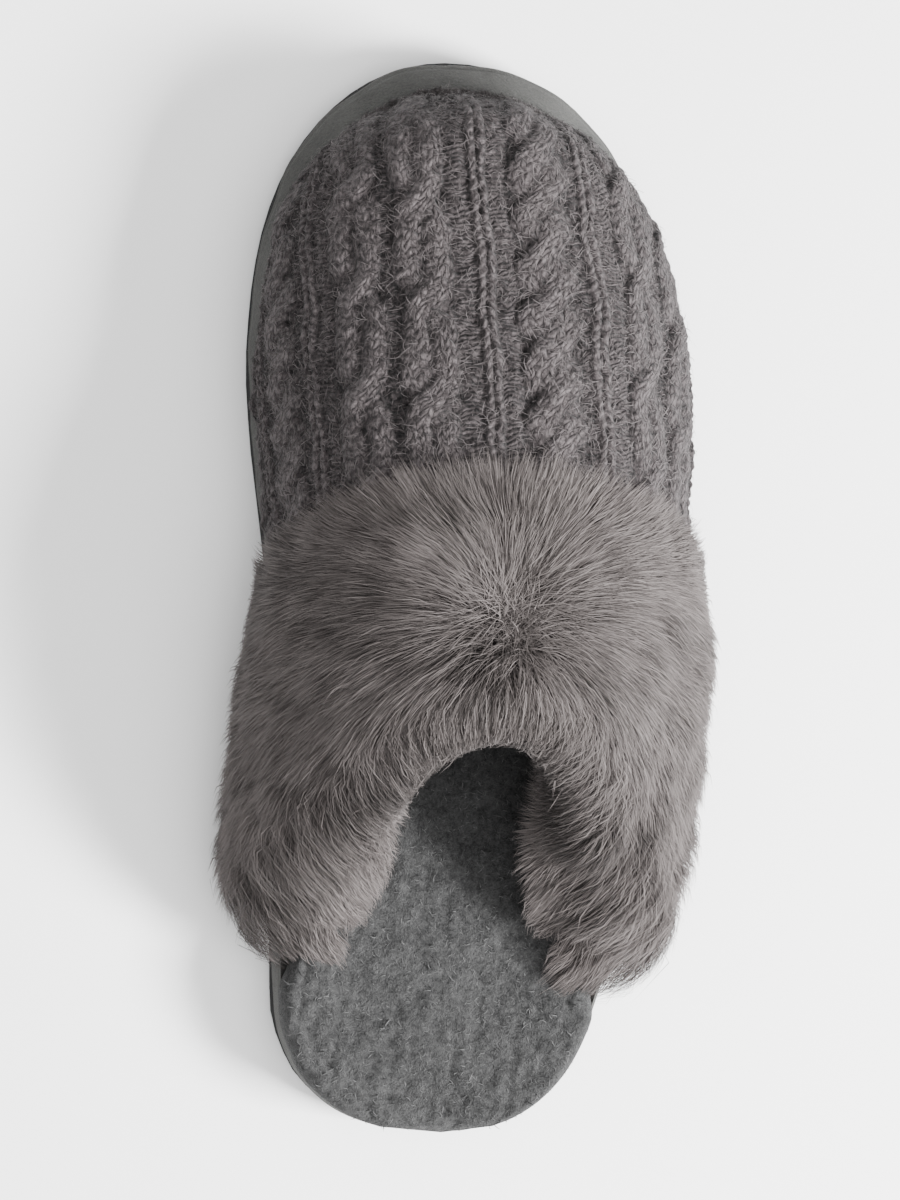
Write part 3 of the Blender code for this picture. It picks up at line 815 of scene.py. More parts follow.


# Columns from the middle rib outward on each side, charted
MEDIAL_COLUMNS = (
    Column(Stitch.LADDER, 0.0056),
    Column(Stitch.CABLE, 0.0132, 0.1730, 1.0),
    Column(Stitch.SLIT, 0.0026),
    Column(Stitch.CABLE, 0.0136, 0.1754, 1.0),
    Column(Stitch.LADDER, 0.0042),
    Column(Stitch.RIB, 0.0046),
    Column(Stitch.SLIT, 0.0018),
    Column(Stitch.ROPE, 0.0134, 0.1700, 1.0),
    Column(Stitch.SLIT, 0.0020),
    Column(Stitch.RIB, 0.0045),
    Column(Stitch.LADDER, 0.0048),
    Column(Stitch.CABLE, 0.0132, 0.1730, 1.0),
    Column(Stitch.LADDER, 0.0056),
)
LATERAL_COLUMNS = (
    Column(Stitch.LADDER, 0.0044),
    Column(Stitch.ROPE, 0.0150, 0.1740, 1.0),
    Column(Stitch.SLIT, 0.0024),
    Column(Stitch.RIB, 0.0048),
    Column(Stitch.LADDER, 0.0050),
    Column(Stitch.CABLE, 0.0130, 0.1790, 1.0),
    Column(Stitch.SLIT, 0.0020),
    Column(Stitch.CABLE, 0.0130, 0.1670, 1.0),
    Column(Stitch.LADDER, 0.0050),
    Column(Stitch.RIB, 0.0048),
    Column(Stitch.LADDER, 0.0044),
    Column(Stitch.CABLE, 0.0130, 0.1730, 1.0),
)


class Relief(NamedTuple):
    """Knit at many places: height over the wall, share raised (painted light where high, painted shade
    where low), stitch coordinates, purl share.
    """

    height: Array
    raised: Array
    wale: Array
    row: Array
    purl: Array


@dataclass(frozen=True)
class KnitChart:
    """The knit as a relief over the upper, by distance from the middle rib and along the shoe."""

    middle_rib: float = 0.0044
    row: float = 0.0023
    wale: float = 0.0022
    repeat: float = 0.0239
    rope_repeat: float = 0.0117
    rib_height: float = 0.0013
    strand_height: float = 0.0014
    crossing_height: float = 0.0008
    purl_height: float = 0.0006
    bar_height: float = 0.0005
    sway: float = 0.0004
    stray_across: float = 0.00030
    stray_along: float = 0.00055

    def rib(self, x: Array, y: Array, width: float) -> Relief:
        """Two rounded legs side by side, each a string of slanted loops.

        Args:
            x: Distance from the column's middle line.
            y: Distance along the shoe.
            width: Width of the column.

        Returns:
            The relief at each place.
        """
        quarter = 0.25 * width
        off = (np.abs(x) - quarter) / quarter
        leg = np.sqrt(np.clip(1.0 - off**2, 0.0, 1.0))
        loops = 0.82 + 0.18 * np.cos(2.0 * np.pi * (y / self.row + 0.35 * off))
        height = self.rib_height * leg * loops
        return Relief(height, leg * loops, x / width + 0.5, y / self.row, 0.0 * x)

    def ladder(self, x: Array, y: Array, width: float) -> Relief:
        """Sunk ground with a low purl bump each half row.

        Args:
            x: Distance from the column's middle line.
            y: Distance along the shoe.
            width: Width of the column.

        Returns:
            The relief at each place.
        """
        bump = np.abs(np.sin(np.pi * (2.0 * y / self.row + 0.12 * np.cos(np.pi * x / width))))
        edge = 1.0 - (2.0 * x / width) ** 2
        height = self.purl_height * bump * np.clip(edge, 0.0, 1.0)
        return Relief(height, 0.26 + 0.20 * bump * edge, x / self.wale, y / self.row, 1.0 + 0.0 * x)

    def slit(self, x: Array, y: Array, width: float) -> Relief:
        """Deep gap crossed by thin bars.

        Args:
            x: Distance from the column's middle line.
            y: Distance along the shoe.
            width: Width of the column.

        Returns:
            The relief at each place.
        """
        bars = np.clip(np.cos(2.0 * np.pi * y / self.row), 0.0, 1.0) ** 2
        height = self.bar_height * bars
        return Relief(height, 0.02 + 0.22 * bars, x / width + 0.5, y / self.row, 1.0 + 0.0 * x)

    def strand(self, off: Array, lift: Array) -> tuple[Array, Array]:
        """Round-backed strand: height over the wall and share raised, which paints light on its back and
        shade at its sides, at an offset of -1 to 1.

        Args:
            off: Offset from the strand's middle, -1 to 1 over its width.
            lift: Share of the crossing's height.

        Returns:
            The height, and the share raised that paints light and shade.
        """
        back = np.clip(1.0 - off**2, 0.0, 1.0) ** 0.62
        height = np.where(np.abs(off) < 1.0, self.strand_height * back + self.crossing_height * lift, -1.0)
        return height, back

    def cable(self, x: Array, y: Array, column: Column) -> Relief:
        """Two strands of three wales that cross once a repeat.

        Each strand's middle runs from one side to the other along a smooth step, one over
        and one under, and the higher strand shows.

        Args:
            x: Distance from the column's middle line.
            y: Distance along the shoe.
            column: The column's width, crossing and way.

        Returns:
            The relief at each place.
        """
        half = 0.5 * column.width
        reach = 0.5 * half
        place = (y - column.crossing) / self.repeat
        place = place - np.round(place)
        step = 2.0 * soft_step(-0.27, 0.27, place) - 1.0
        hump = np.cos(np.pi * np.clip(place / 0.54, -0.5, 0.5)) ** 2
        layers = []
        for over in (1.0, -1.0):
            middle = column.way * over * reach * step
            off = (x - middle) / (reach * (1.16 + 0.14 * hump))
            height, back = self.strand(off, over * hump)
            layers.append((height, back * (0.78 + 0.22 * over * hump), off))
        shown = layers[0][0] >= layers[1][0]
        height = np.where(shown, layers[0][0], layers[1][0])
        back = np.where(shown, layers[0][1], layers[1][1])
        off = np.where(shown, layers[0][2], layers[1][2])
        bare = height < -0.5
        height = np.where(bare, 0.0, np.maximum(height, 0.0))
        return Relief(height, np.where(bare, 0.1, back), 1.5 * off, y / self.row, 0.0 * x)

    def rope(self, x: Array, y: Array, column: Column) -> Relief:
        """Two strands twisted all the way: middles on a cosine, lifts on its sine.

        Args:
            x: Distance from the column's middle line.
            y: Distance along the shoe.
            column: The column's width, crossing and way.

        Returns:
            The relief at each place.
        """
        half = 0.5 * column.width
        phase = np.pi * (y - column.crossing) / self.rope_repeat
        best = Relief(np.full(x.shape, -1.0), 0.1 + 0.0 * x, 0.0 * x, y / self.row, 0.0 * x)
        for start in (0.0, np.pi):
            middle = column.way * 0.46 * half * np.sin(phase + start)
            lift = np.cos(phase + start)
            off = (x - middle) / (0.64 * half)
            height, back = self.strand(off, 0.8 * lift)
            over = height > best.height
            best = Relief(
                np.where(over, height, best.height),
                np.where(over, back * (0.80 + 0.20 * lift), best.raised),
                np.where(over, 1.5 * off, best.wale),
                best.row,
                best.purl,
            )
        bare = best.height < -0.5
        return best._replace(height=np.where(bare, 0.0, np.maximum(best.height, 0.0)))

    def column(self, column: Column, x: Array, y: Array) -> Relief:
        """Relief of one column at a distance x from its middle line.

        Args:
            column: The column.
            x: Distance from the column's middle line.
            y: Distance along the shoe.

        Returns:
            The relief at each place.
        """
        if column.stitch is Stitch.RIB:
            return self.rib(x, y, column.width)
        if column.stitch is Stitch.LADDER:
            return self.ladder(x, y, column.width)
        if column.stitch is Stitch.SLIT:
            return self.slit(x, y, column.width)
        if column.stitch is Stitch.CABLE:
            return self.cable(x, y, column)
        return self.rope(x, y, column)

    def relief(self, reach: Array, along: Array) -> Relief:
        """Relief at signed distances from the middle line and places along the shoe.

        Args:
            reach: Arc distance from the middle rib, medial negative.
            along: Distance from the heel end.

        Returns:
            The relief of whichever column each place falls in.
        """
        place = np.stack([reach, along, 0.0 * reach], axis=-1)
        sway = self.sway * np.sin(2.0 * np.pi * along / 0.031 + reach / 0.011)
        reach = reach + sway + self.stray_across * ripple(place, 0.0050, 51)
        along = along + self.stray_along * ripple(place, 0.0042, 52)
        found = self.rib(reach, along, self.middle_rib)
        parts = [part.copy() for part in found]
        for side, columns in ((MEDIAL, MEDIAL_COLUMNS), (LATERAL, LATERAL_COLUMNS)):
            start = 0.5 * self.middle_rib
            for column in columns:
                x = side * reach - start - 0.5 * column.width
                inside = np.abs(x) <= 0.5 * column.width
                made = self.column(column, side * x, along)
                for part, new in zip(parts, made):
                    part[inside] = new[inside]
                start += column.width
        return Relief(*parts)


def fibre_strips(paths: Array, across: Array, widths: Array) -> tuple[Array, list[Array]]:
    """Thin tapering ribbons along many paths, each ending in a point.

    Args:
        paths: Middle lines, shape (ribbons, places, 3).
        across: Unit directions of the width at each place.
        widths: Widths at each place but the last.

    Returns:
        Points, and the quads and triangles between them.
    """
    count, places = paths.shape[:2]
    body = places - 1
    half = 0.5 * widths[..., None] * across[:, :body]
    left, right = paths[:, :body] - half, paths[:, :body] + half
    sides = np.stack([left, right], axis=2).reshape(count, 2 * body, 3)
    points = np.concatenate([sides, paths[:, -1:]], axis=1)
    first = (np.arange(count) * (2 * body + 1))[:, None, None]
    k = 2 * np.arange(body - 1)[None, :, None]
    quads = first + k + np.array([0, 1, 3, 2])[None, None, :]
    tips = first[:, 0] + 2 * (body - 1) + np.array([0, 1, 2])[None, :]
    return points.reshape(-1, 3), [quads.reshape(-1, 4), tips.reshape(-1, 3)]


def fibre_values(tone: Array) -> dict[str, Array]:
    """Attributes of ribbons.

    Args:
        tone: Tone of each ribbon.

    Returns:
        The share along the ribbon (k / SEGMENTS) and its tone, at each of its points.
    """
    along = np.append(np.repeat(np.arange(SEGMENTS) / SEGMENTS, 2), 1.0)
    return {"along": np.tile(along, len(tone)), "tone": np.repeat(tone, len(along))}


class Curl(NamedTuple):
    """Short loose fibres: heading at the root, turn along the fibre, length and lift of each."""

    heading: Array
    bend: Array
    length: Array
    lift: Array


def curled_fibres(
    root: Array, frame_at: tuple[Array, Array, Array], curl: Curl, rise: tuple[float, float], widths: Array
) -> tuple[Array, list[Array]]:
    """Ribbons that turn in the surface while their lift off it falls away.

    Segment k heads at heading + bend k / SEGMENTS, and rises lift times (rise - fall k).

    Args:
        root: First points.
        frame_at: Unit vectors at the roots: normal, a direction in the surface, and the other one.
        curl: Shape of each fibre.
        rise: Factor on the lift at the root, and how much of it is lost a segment.
        widths: Widths at each point but the last.

    Returns:
        Points and faces of the ribbons.
    """
    normal, run, side = frame_at
    path = [root]
    for k in range(1, SEGMENTS + 1):
        way = curl.heading + curl.bend * k / SEGMENTS
        step = np.cos(way) * run + np.sin(way) * side + normal * curl.lift * (rise[0] - rise[1] * k)
        path.append(path[-1] + step * curl.length / SEGMENTS)
    paths = np.stack(path, axis=1)
    across = unit(np.cross(np.gradient(paths, axis=1), normal[:, None, :]))
    return fibre_strips(paths, across, np.tile(widths, (len(root), 1)))


class Face(NamedTuple):
    """The fine relief's points, the base's normals under them, the knit, and the edge's share."""

    points: Array
    normal: Array
    knit: Relief
    edge: Array


@dataclass
class KnitUpper:
    """Knitted upper: fine relief from under the cuff to the toe, wall and lining, and fuzz."""

    chart: KnitChart = field(default_factory=KnitChart)
    rows: int = 262
    columns: int = 376
    under_cuff: float = 0.030
    toe_end: float = 0.9990
    roll: float = 0.0026
    roll_height: float = 0.0011
    roll_toe: float = 0.0022
    behind: float = 0.0011
    wall_rows: int = 60
    wall_columns: int = 61
    lining_waves: float = 0.00025
    lumps: float = 0.00030
    grain: float = 0.00022
    fuzz: int = 16500
    seed: int = 11

    def grid(self) -> tuple[Array, Array]:
        """Turns and angles of the fine grid, spaced evenly along the surface.

        Rows run from under the cuff to the toe, so that each step of the middle line and of
        the feather edge is about the same. Columns are even shares of the section's arc.

        Returns:
            Turns and angles, one row each along the shoe.
        """
        start = LAST.cuff_front(np.full(1, 0.5 * np.pi))[0] - self.under_cuff
        fine = np.linspace(start, self.toe_end, 900)
        top = LAST.vamp(fine, np.full(len(fine), 0.5 * np.pi))
        foot = LAST.vamp(fine, np.full(len(fine), 0.02))
        top_step, foot_step = (np.linalg.norm(np.diff(line, axis=0), axis=1) for line in (top, foot))
        run = np.concatenate([[0.0], np.cumsum(np.maximum(top_step, 0.8 * foot_step))])
        turns = np.interp(np.linspace(0.0, run[-1], self.rows), run, fine)
        spread = np.linspace(0.0, np.pi, 721)
        points = LAST.vamp(turns[:, None], spread[None, :])
        arc = np.cumsum(np.linalg.norm(np.diff(points, axis=1), axis=2), axis=1)
        arc = np.concatenate([np.zeros((self.rows, 1)), arc], axis=1)
        share = np.linspace(0.0, 1.0, self.columns)
        angles = np.stack([np.interp(share * a[-1], a, spread) for a in arc])
        return np.broadcast_to(turns[:, None], angles.shape), angles

    def reach(self, points: Array, angles: Array) -> Array:
        """Signed arc distance of each grid point from the middle line of its row.

        Args:
            points: Points of the grid.
            angles: Their angles.

        Returns:
            One distance a point, medial negative.
        """
        step = np.linalg.norm(np.diff(points, axis=1), axis=2)
        arc = np.concatenate([np.zeros((len(points), 1)), np.cumsum(step, axis=1)], axis=1)
        middle = np.array([np.interp(0.5 * np.pi, a, s) for a, s in zip(angles, arc)])
        return arc - middle[:, None]

    def outer(self) -> Face:
        """The upper's outer face: the base moved out by the knit, the rolled edge and soft lumps.

        Returns:
            The face on the fine grid.
        """
        turns, angles = self.grid()
        base = LAST.vamp(turns, angles)
        normal = grid_normals(base)
        along = base[..., 1] - LAST.shift()[1]
        found = self.chart.relief(self.reach(base, angles), along)
        above = base[..., 2] - LAST.seat(turns)
        over = above / self.roll
        edge = soft_step(1.35, 0.9, over)
        forward = soft_step(0.90, 1.0, station(turns))
        swell = self.roll_height + (self.roll_toe - self.roll_height) * forward
        rolled = swell * np.sqrt(np.clip(1.0 - (2.0 * over - 1.0) ** 2, 0.0, 1.0))
        toe = 1.0 - 0.35 * forward
        height = found.height * toe * (1.0 - edge) + rolled * edge
        height = height + self.lumps * ripple(base, 0.009, 5) + self.grain * ripple(base, 0.0021, 15)
        return Face(base + normal * height[..., None], normal, found, edge)

    def build_knit(self, face: Face, finish: bpy.types.Material) -> bpy.types.Object:
        """The visible knit, closed at the toe by a fan of triangles.

        Args:
            face: The upper's outer face.
            finish: Its material.

        Returns:
            The piece.
        """
        rows, columns = face.points.shape[:2]
        tip = face.points[-1].mean(axis=0, keepdims=True)
        corners = np.concatenate([face.points.reshape(-1, 3), tip])
        quads = grid_quads(rows, columns)
        last = (rows - 1) * columns + np.arange(columns - 1)
        fan = np.stack([last, last + 1, np.full(columns - 1, rows * columns)], axis=-1)

        def padded(numbers: Array) -> Array:
            """Numbers of the grid, and the last one again for the tip."""
            return np.append(numbers.ravel(), numbers.ravel()[-1])

        knit = face.knit
        # Share raised: painted light on the raised knit and painted shade in its sunk parts.
        values = {"raised": padded(knit.raised), "purl": padded(knit.purl), "edge": padded(face.edge)}
        uv = np.stack([padded(knit.wale), padded(knit.row)], axis=-1)
        piece = make_piece("knit_upper", corners, [quads, fan], finish, values, uv)
        return settle(piece, "knit_upper", "upper")

    def build_wall(self, finish: bpy.types.Material) -> bpy.types.Object:
        """Wall behind the knit and under the fur: outer face, mouth rim and lining, closed.

        Args:
            finish: Its material.

        Returns:
            The piece.
        """
        rows, columns = self.wall_rows, self.wall_columns
        angle = np.linspace(0.0, np.pi, columns)
        share = np.linspace(0.0, 1.0, rows)[:, None]
        start = LAST.mouth(angle)[None, :]
        turns = start + (0.996 - start) * share
        angles = np.broadcast_to(angle, turns.shape)
        base = LAST.vamp(turns, angles)
        outer = base - grid_normals(base) * self.behind
        inner = LAST.vamp(turns, angles, LAST.wall)
        wavy = self.lining_waves * ripple(inner, 0.010, 21)
        inner = inner - grid_normals(inner) * wavy[..., None]
        loop = np.concatenate([outer, inner[:, ::-1]], axis=1)
        ring = loop.shape[1]
        quads = grid_quads(rows, ring, wrap=True)
        j = np.arange(columns - 1)
        cap = np.stack([j, j + 1, ring - 2 - j, ring - 1 - j], axis=-1)
        piece = make_piece("upper_wall", loop, [quads, cap[:, ::-1], (rows - 1) * ring + cap], finish)
        return settle(piece, "knit_upper", "upper")

    def build_fuzz(self, face: Face, finish: bpy.types.Material) -> bpy.types.Object:
        """Stray curled fibres that stand off the yarn.

        Args:
            face: The upper's outer face.
            finish: Their material.

        Returns:
            The piece.
        """
        points, normal = face.points, face.normal
        rng = np.random.default_rng(self.seed)
        rows, columns = points.shape[:2]
        i = rng.integers(0, rows - 6, self.fuzz)
        j = rng.integers(3, columns - 3, self.fuzz)
        root, up = points[i, j], normal[i, j]
        run = unit(points[i + 2, j] - points[i, j])
        side = np.cross(up, run)
        heading = rng.uniform(0.0, 2.0 * np.pi, self.fuzz)[:, None]
        length = rng.uniform(0.0018, 0.0046, self.fuzz)[:, None]
        bend = rng.uniform(-1.6, 1.6, self.fuzz)[:, None]
        lift = rng.uniform(0.15, 0.75, self.fuzz)[:, None]
        curl = Curl(heading, bend, length, lift)
        widths = np.array([0.00013, 0.00012, 0.00010])
        corners, faces = curled_fibres(root - up * 0.0002, (up, run, side), curl, (1.2, 0.55), widths)
        values = fibre_values(rng.uniform(0.0, 1.0, self.fuzz))
        return settle(make_piece("knit_fuzz", corners, faces, finish, values), "knit_upper")

    def build(self, knit: bpy.types.Material, lining: bpy.types.Material, fuzz: bpy.types.Material) -> None:
        """All pieces of the upper.

        Args:
            knit: Material of the outer face.
            lining: Material of the wall.
            fuzz: Material of the stray fibres.
        """
        face = self.outer()
        self.build_knit(face, knit)
        self.build_wall(lining)
        self.build_fuzz(face, fuzz)


class Pelt(NamedTuple):
    """Fields on the cuff's base grid.

    They are place, normal, steps per row and per column, combing direction, row share, height
    of the pile, nearness to the whorl and share of arm.
    """

    base: Array
    normal: Array
    down: Array
    across: Array
    flow: Array
    share: Array
    pile: Array
    crown: Array
    arm: Array


class Lip(NamedTuple):
    """The lip at a share of the way from its crest to its foot: roll, piles and pull inward."""

    spread: float
    roll: float
    pile_medial: float
    pile_lateral: float
    inward: float


LIP = (
    Lip(0.00, 1.75, 0.0036, 0.0036, 1.2),
    Lip(0.22, 2.10, 0.0042, 0.0040, 1.1),
    Lip(0.50, 2.20, 0.0062, 0.0052, 0.9),
    Lip(0.78, 1.60, 0.0095, 0.0115, 0.8),
    Lip(1.00, 1.60, 0.0085, 0.0100, 0.5),
)


class Tuft(NamedTuple):
    """Soft streak of the fur between two plan points in mm: width, change of stand and of tone; the tone
    change is painted light on lit tufts and painted shade in partings.
    """

    x0: float
    y0: float
    x1: float
    y1: float
    width: float
    stand: float
    tone: float


# Tufts and partings of the fur, with painted light on the lit tufts and painted shade in the dark partings
TUFTS = (
    Tuft(-8.0, 5.0, -1.0, -3.0, 4.5, 0.05, 0.75),
    Tuft(2.5, -1.0, 5.0, 6.0, 4.0, 0.03, 0.50),
    Tuft(-6.0, 18.0, -5.0, 14.0, 5.0, -0.10, -0.35),
    Tuft(-14.0, -8.0, -6.0, -11.0, 5.0, -0.12, -0.35),
    Tuft(-2.0, -14.0, 0.0, -18.0, 5.0, -0.06, -0.25),
    Tuft(-36.0, 8.0, -30.0, 4.0, 8.0, -0.08, -0.25),
    Tuft(28.0, -42.0, 29.0, -56.0, 2.2, -0.38, -0.40),
    Tuft(28.0, -62.0, 29.5, -73.0, 2.4, -0.38, -0.40),
    Tuft(-41.0, -58.0, -43.5, -69.0, 2.4, -0.34, -0.40),
    Tuft(-45.0, -71.0, -44.0, -84.0, 2.2, -0.34, -0.40),
    Tuft(-38.0, -46.0, -32.0, -76.0, 8.0, 0.05, 0.60),
    Tuft(-47.0, -54.0, -46.0, -82.0, 6.0, 0.04, 0.45),
    Tuft(34.0, -24.0, 42.0, -40.0, 7.0, 0.04, 0.10),
)


@dataclass
class FurCuff:
    """Deep fur cuff: a skin, dark as painted shade under the pile, and four dense pieces of fur combed out
    from a whorl.
    """

    skin: float = 0.0009
    roll_radius: float = 0.0032
    lip_reach: float = 0.0150
    hang: float = 0.0140
    front_reach: float = 0.0180
    lip_rows: int = 16
    rows: int = 64
    front_rows: int = 16
    hang_columns: int = 8
    columns: int = 241
    whorl_station: float = 0.470
    whorl_size: float = 0.0085
    length: float = 0.0150
    pile_top: float = 0.0082
    pile_hem: float = 0.0040
    pile_medial: float = 0.0048
    pile_lateral: float = 0.0050
    clump: float = 0.0019
    lock: float = 0.0065
    felt: float = 0.0016
    sunk: float = 0.0004
    lip_share: float = 0.12
    hem_share: float = 0.955
    front_half: int = 52
    strands: int = 110000
    seed: int = 7

    def spread(self, columns: int) -> Array:
        """Share of the way from the crest (0) to the foot of the lip (1) at each column."""
        return np.clip(np.abs(np.arange(columns) - columns // 2) / (0.5 * self.columns), 0.0, 1.0)

    def lip(self, name: str, columns: int) -> Array:
        """One column of LIP read at each column of a grid."""
        knots = np.array([row.spread for row in LIP])
        return smooth_through(knots, np.array([getattr(row, name) for row in LIP]), self.spread(columns))

    def base_grid(self) -> tuple[Array, Array]:
        """Base of the fur as a grid, and each point's share from the lip (0) to the hem (1).

        Rows run over the lip, along the upper to the front hem and on over the knit.
        Columns run around the upper and on down both sides over the band.

        Returns:
            The points and their shares.
        """
        angle = np.linspace(0.0, np.pi, self.columns)
        share = np.linspace(0.0, 1.0, self.rows)
        start, front = LAST.mouth(angle), LAST.cuff_front(angle)
        on = turn(np.minimum(station(front) + self.front_reach / LAST.length, 0.93))
        beyond = np.linspace(0.0, 1.0, self.front_rows + 1)[1:, None]
        turns = np.concatenate([start + (front - start) * share[:, None], front + (on - front) * beyond])
        angles = np.broadcast_to(angle, turns.shape)
        wall = LAST.vamp(turns, angles)
        normal = grid_normals(wall)
        main = wall + normal * self.skin
        rim, up = wall[0], normal[0]
        along_rim = unit(np.gradient(rim, axis=0))
        out = unit(np.cross(along_rim, up))
        back = unit(wall[0] - wall[1])
        out = out * np.sign(np.sum(out * back, axis=-1, keepdims=True))
        radius = self.roll_radius
        centre = rim - up * (radius - self.skin)
        roll = self.lip("roll", self.columns)[:, None]
        lip = []
        for k in range(self.lip_rows, 0, -1):
            path = k / self.lip_rows * (radius * roll + self.lip_reach)
            bend = np.minimum(path / radius, roll)
            straight = np.maximum(path - radius * roll, 0.0)
            point = centre + radius * (np.cos(bend) * up + np.sin(bend) * out)
            lip.append(point + straight * (-np.sin(bend) * up + np.cos(bend) * out))
        grid = np.concatenate([np.stack(lip), main])
        over = -np.arange(self.lip_rows, 0, -1) / self.lip_rows
        shares = np.concatenate([over, share, 1.0 + beyond[:, 0]])
        hung = []
        for column, step in ((0, 1), (-1, -1)):
            edge = grid[:, column]
            outward = unit((edge - grid[:, column + 12 * step]) * np.array([1.0, 1.0, 0.0]))
            drops = np.linspace(self.hang / self.hang_columns, self.hang, self.hang_columns)
            fallen = drops[None, :, None] * np.array([0.0, 0.0, 1.0])
            added = edge[:, None] + outward[:, None] * 0.0012 - fallen
            hung.append(added[:, ::-1] if step > 0 else added)
        grid = np.concatenate([hung[0], grid, hung[1]], axis=1)
        return grid, np.broadcast_to(shares[:, None], grid.shape[:2])

    def pelt(self) -> Pelt:
        """Grid fields with the combing direction at each point.

        The flow is the direction away from the whorl, measured along the surface, bent
        toward the mouth near the lip and toward the toe near the hem.

        Returns:
            The fields.
        """
        base, share = self.base_grid()
        down = np.gradient(base, axis=0)
        across = np.gradient(base, axis=1)
        normal = unit(np.cross(across, down))
        along = unit(down - normal * np.sum(down * normal, axis=-1, keepdims=True))
        around = np.cross(along, normal)
        middle = base.shape[1] // 2
        crest = base[:, middle]
        whorl_y = self.whorl_station * LAST.length + LAST.shift()[1]
        whorl = crest[np.argmin(np.abs(crest[:, 1] - whorl_y) + 1.0 * (share[:, middle] < 0.0))]
        from_crest = base - whorl
        chord = np.linalg.norm(from_crest * np.array([1.0, 0.0, 1.0]), axis=-1)
        side = np.sign(np.arange(base.shape[1]) - middle)[None, :]
        away = side[..., None] * chord[..., None] * around + from_crest[..., 1:2] * along * 0.9
        away = unit(away + 1e-5 * along)
        rim_run = unit(across)
        toward_lip = -unit(down - rim_run * np.sum(down * rim_run, axis=-1, keepdims=True))
        arm = soft_step(0.42, 0.33, (base[..., 1] - LAST.shift()[1]) / LAST.length)
        start = 0.30 - 0.27 * arm
        near_lip = np.clip((start - share) / 0.30, 0.0, 2.6) * self.lip("inward", share.shape[1])
        heelward = np.array([0.0, -1.0, 0.0]) * (0.30 + 0.9 * arm)[..., None]
        heelward = heelward * soft_step(0.01, 0.05, chord)[..., None]
        hem = soft_step(0.75, 1.0, share)[..., None] * along * 0.5
        flow = away + toward_lip * near_lip[..., None] + heelward + hem
        flow = flow - normal * np.sum(flow * normal, axis=-1, keepdims=True)
        crown = np.exp(-np.sum(from_crest**2, axis=-1) / self.whorl_size**2)
        return Pelt(base, normal, down, across, unit(flow), share, self.pile(share), crown, arm)

    def pile(self, share: Array) -> Array:
        """Height of the pile: fullest at the sides, thin at the hem, low over the mouth's top.

        Args:
            share: Share from the lip to the hem at each point.

        Returns:
            One height a point.
        """
        columns = share.shape[1]
        medial = np.arange(columns) < columns // 2
        side = np.where(medial, self.pile_medial, self.pile_lateral)
        side = side * soft_step(0.35, 0.85, self.spread(columns))
        laid = np.clip(share, 0.0, 1.0)
        body = self.pile_top + (self.pile_hem - self.pile_top) * laid**3 + side * (1.0 - laid**2)
        mouth = np.where(medial, self.lip("pile_medial", columns), self.lip("pile_lateral", columns))
        return body + (mouth - body) * soft_step(0.12, -0.25, share)

    @staticmethod
    def read(field_values: Array, i: Array, j: Array) -> Array:
        """Bilinear reading of a grid field at fractional rows and columns.

        Args:
            field_values: The field.
            i: Fractional rows.
            j: Fractional columns.

        Returns:
            One value a place.
        """
        rows, columns = field_values.shape[:2]
        i = np.clip(i, 0.0, rows - 1.001)
        j = np.clip(j, 0.0, columns - 1.001)
        i0, j0 = i.astype(int), j.astype(int)
        s, t = (i - i0), (j - j0)
        if field_values.ndim == 3:
            s, t = s[:, None], t[:, None]
        top = field_values[i0, j0] * (1 - t) + field_values[i0, j0 + 1] * t
        low = field_values[i0 + 1, j0] * (1 - t) + field_values[i0 + 1, j0 + 1] * t
        return top * (1 - s) + low * s

    def roots(self, pelt: Pelt, rng: np.random.Generator) -> tuple[Array, Array]:
        """Places of the strands' roots, even over the area to be covered.

        Args:
            pelt: The base's fields.
            rng: Source of the random draws.

        Returns:
            Fractional rows and columns.
        """
        area = np.linalg.norm(np.cross(pelt.across, pelt.down), axis=-1)[:-1, :-1]
        share = pelt.share[:-1, :-1]
        rows, columns = area.shape
        column = np.arange(columns)[None, :]
        beside = np.minimum(column, columns - 1 - column)
        lowest = -0.26 - 0.40 * soft_step(0.35, 0.80, self.spread(share.shape[1] + 1)[:-1])
        wanted = np.where((share > lowest) & (share < self.hem_share), 1.0, 0.0)
        wanted = wanted * np.where((share < 0.04) & (beside < self.hang_columns + 3), 0.0, 1.0)
        wanted = wanted * np.where(beside < self.hang_columns - 3, 0.0, 1.0)
        weight = np.cumsum((area * wanted).ravel())
        picks = (np.arange(self.strands) + rng.uniform(0.0, 1.0, self.strands)) / self.strands * weight[-1]
        cell = np.searchsorted(weight, picks)
        cell = np.minimum(cell, rows * columns - 1)
        i = cell // columns + rng.uniform(0.0, 1.0, self.strands)
        j = cell % columns + rng.uniform(0.0, 1.0, self.strands)
        return i, j

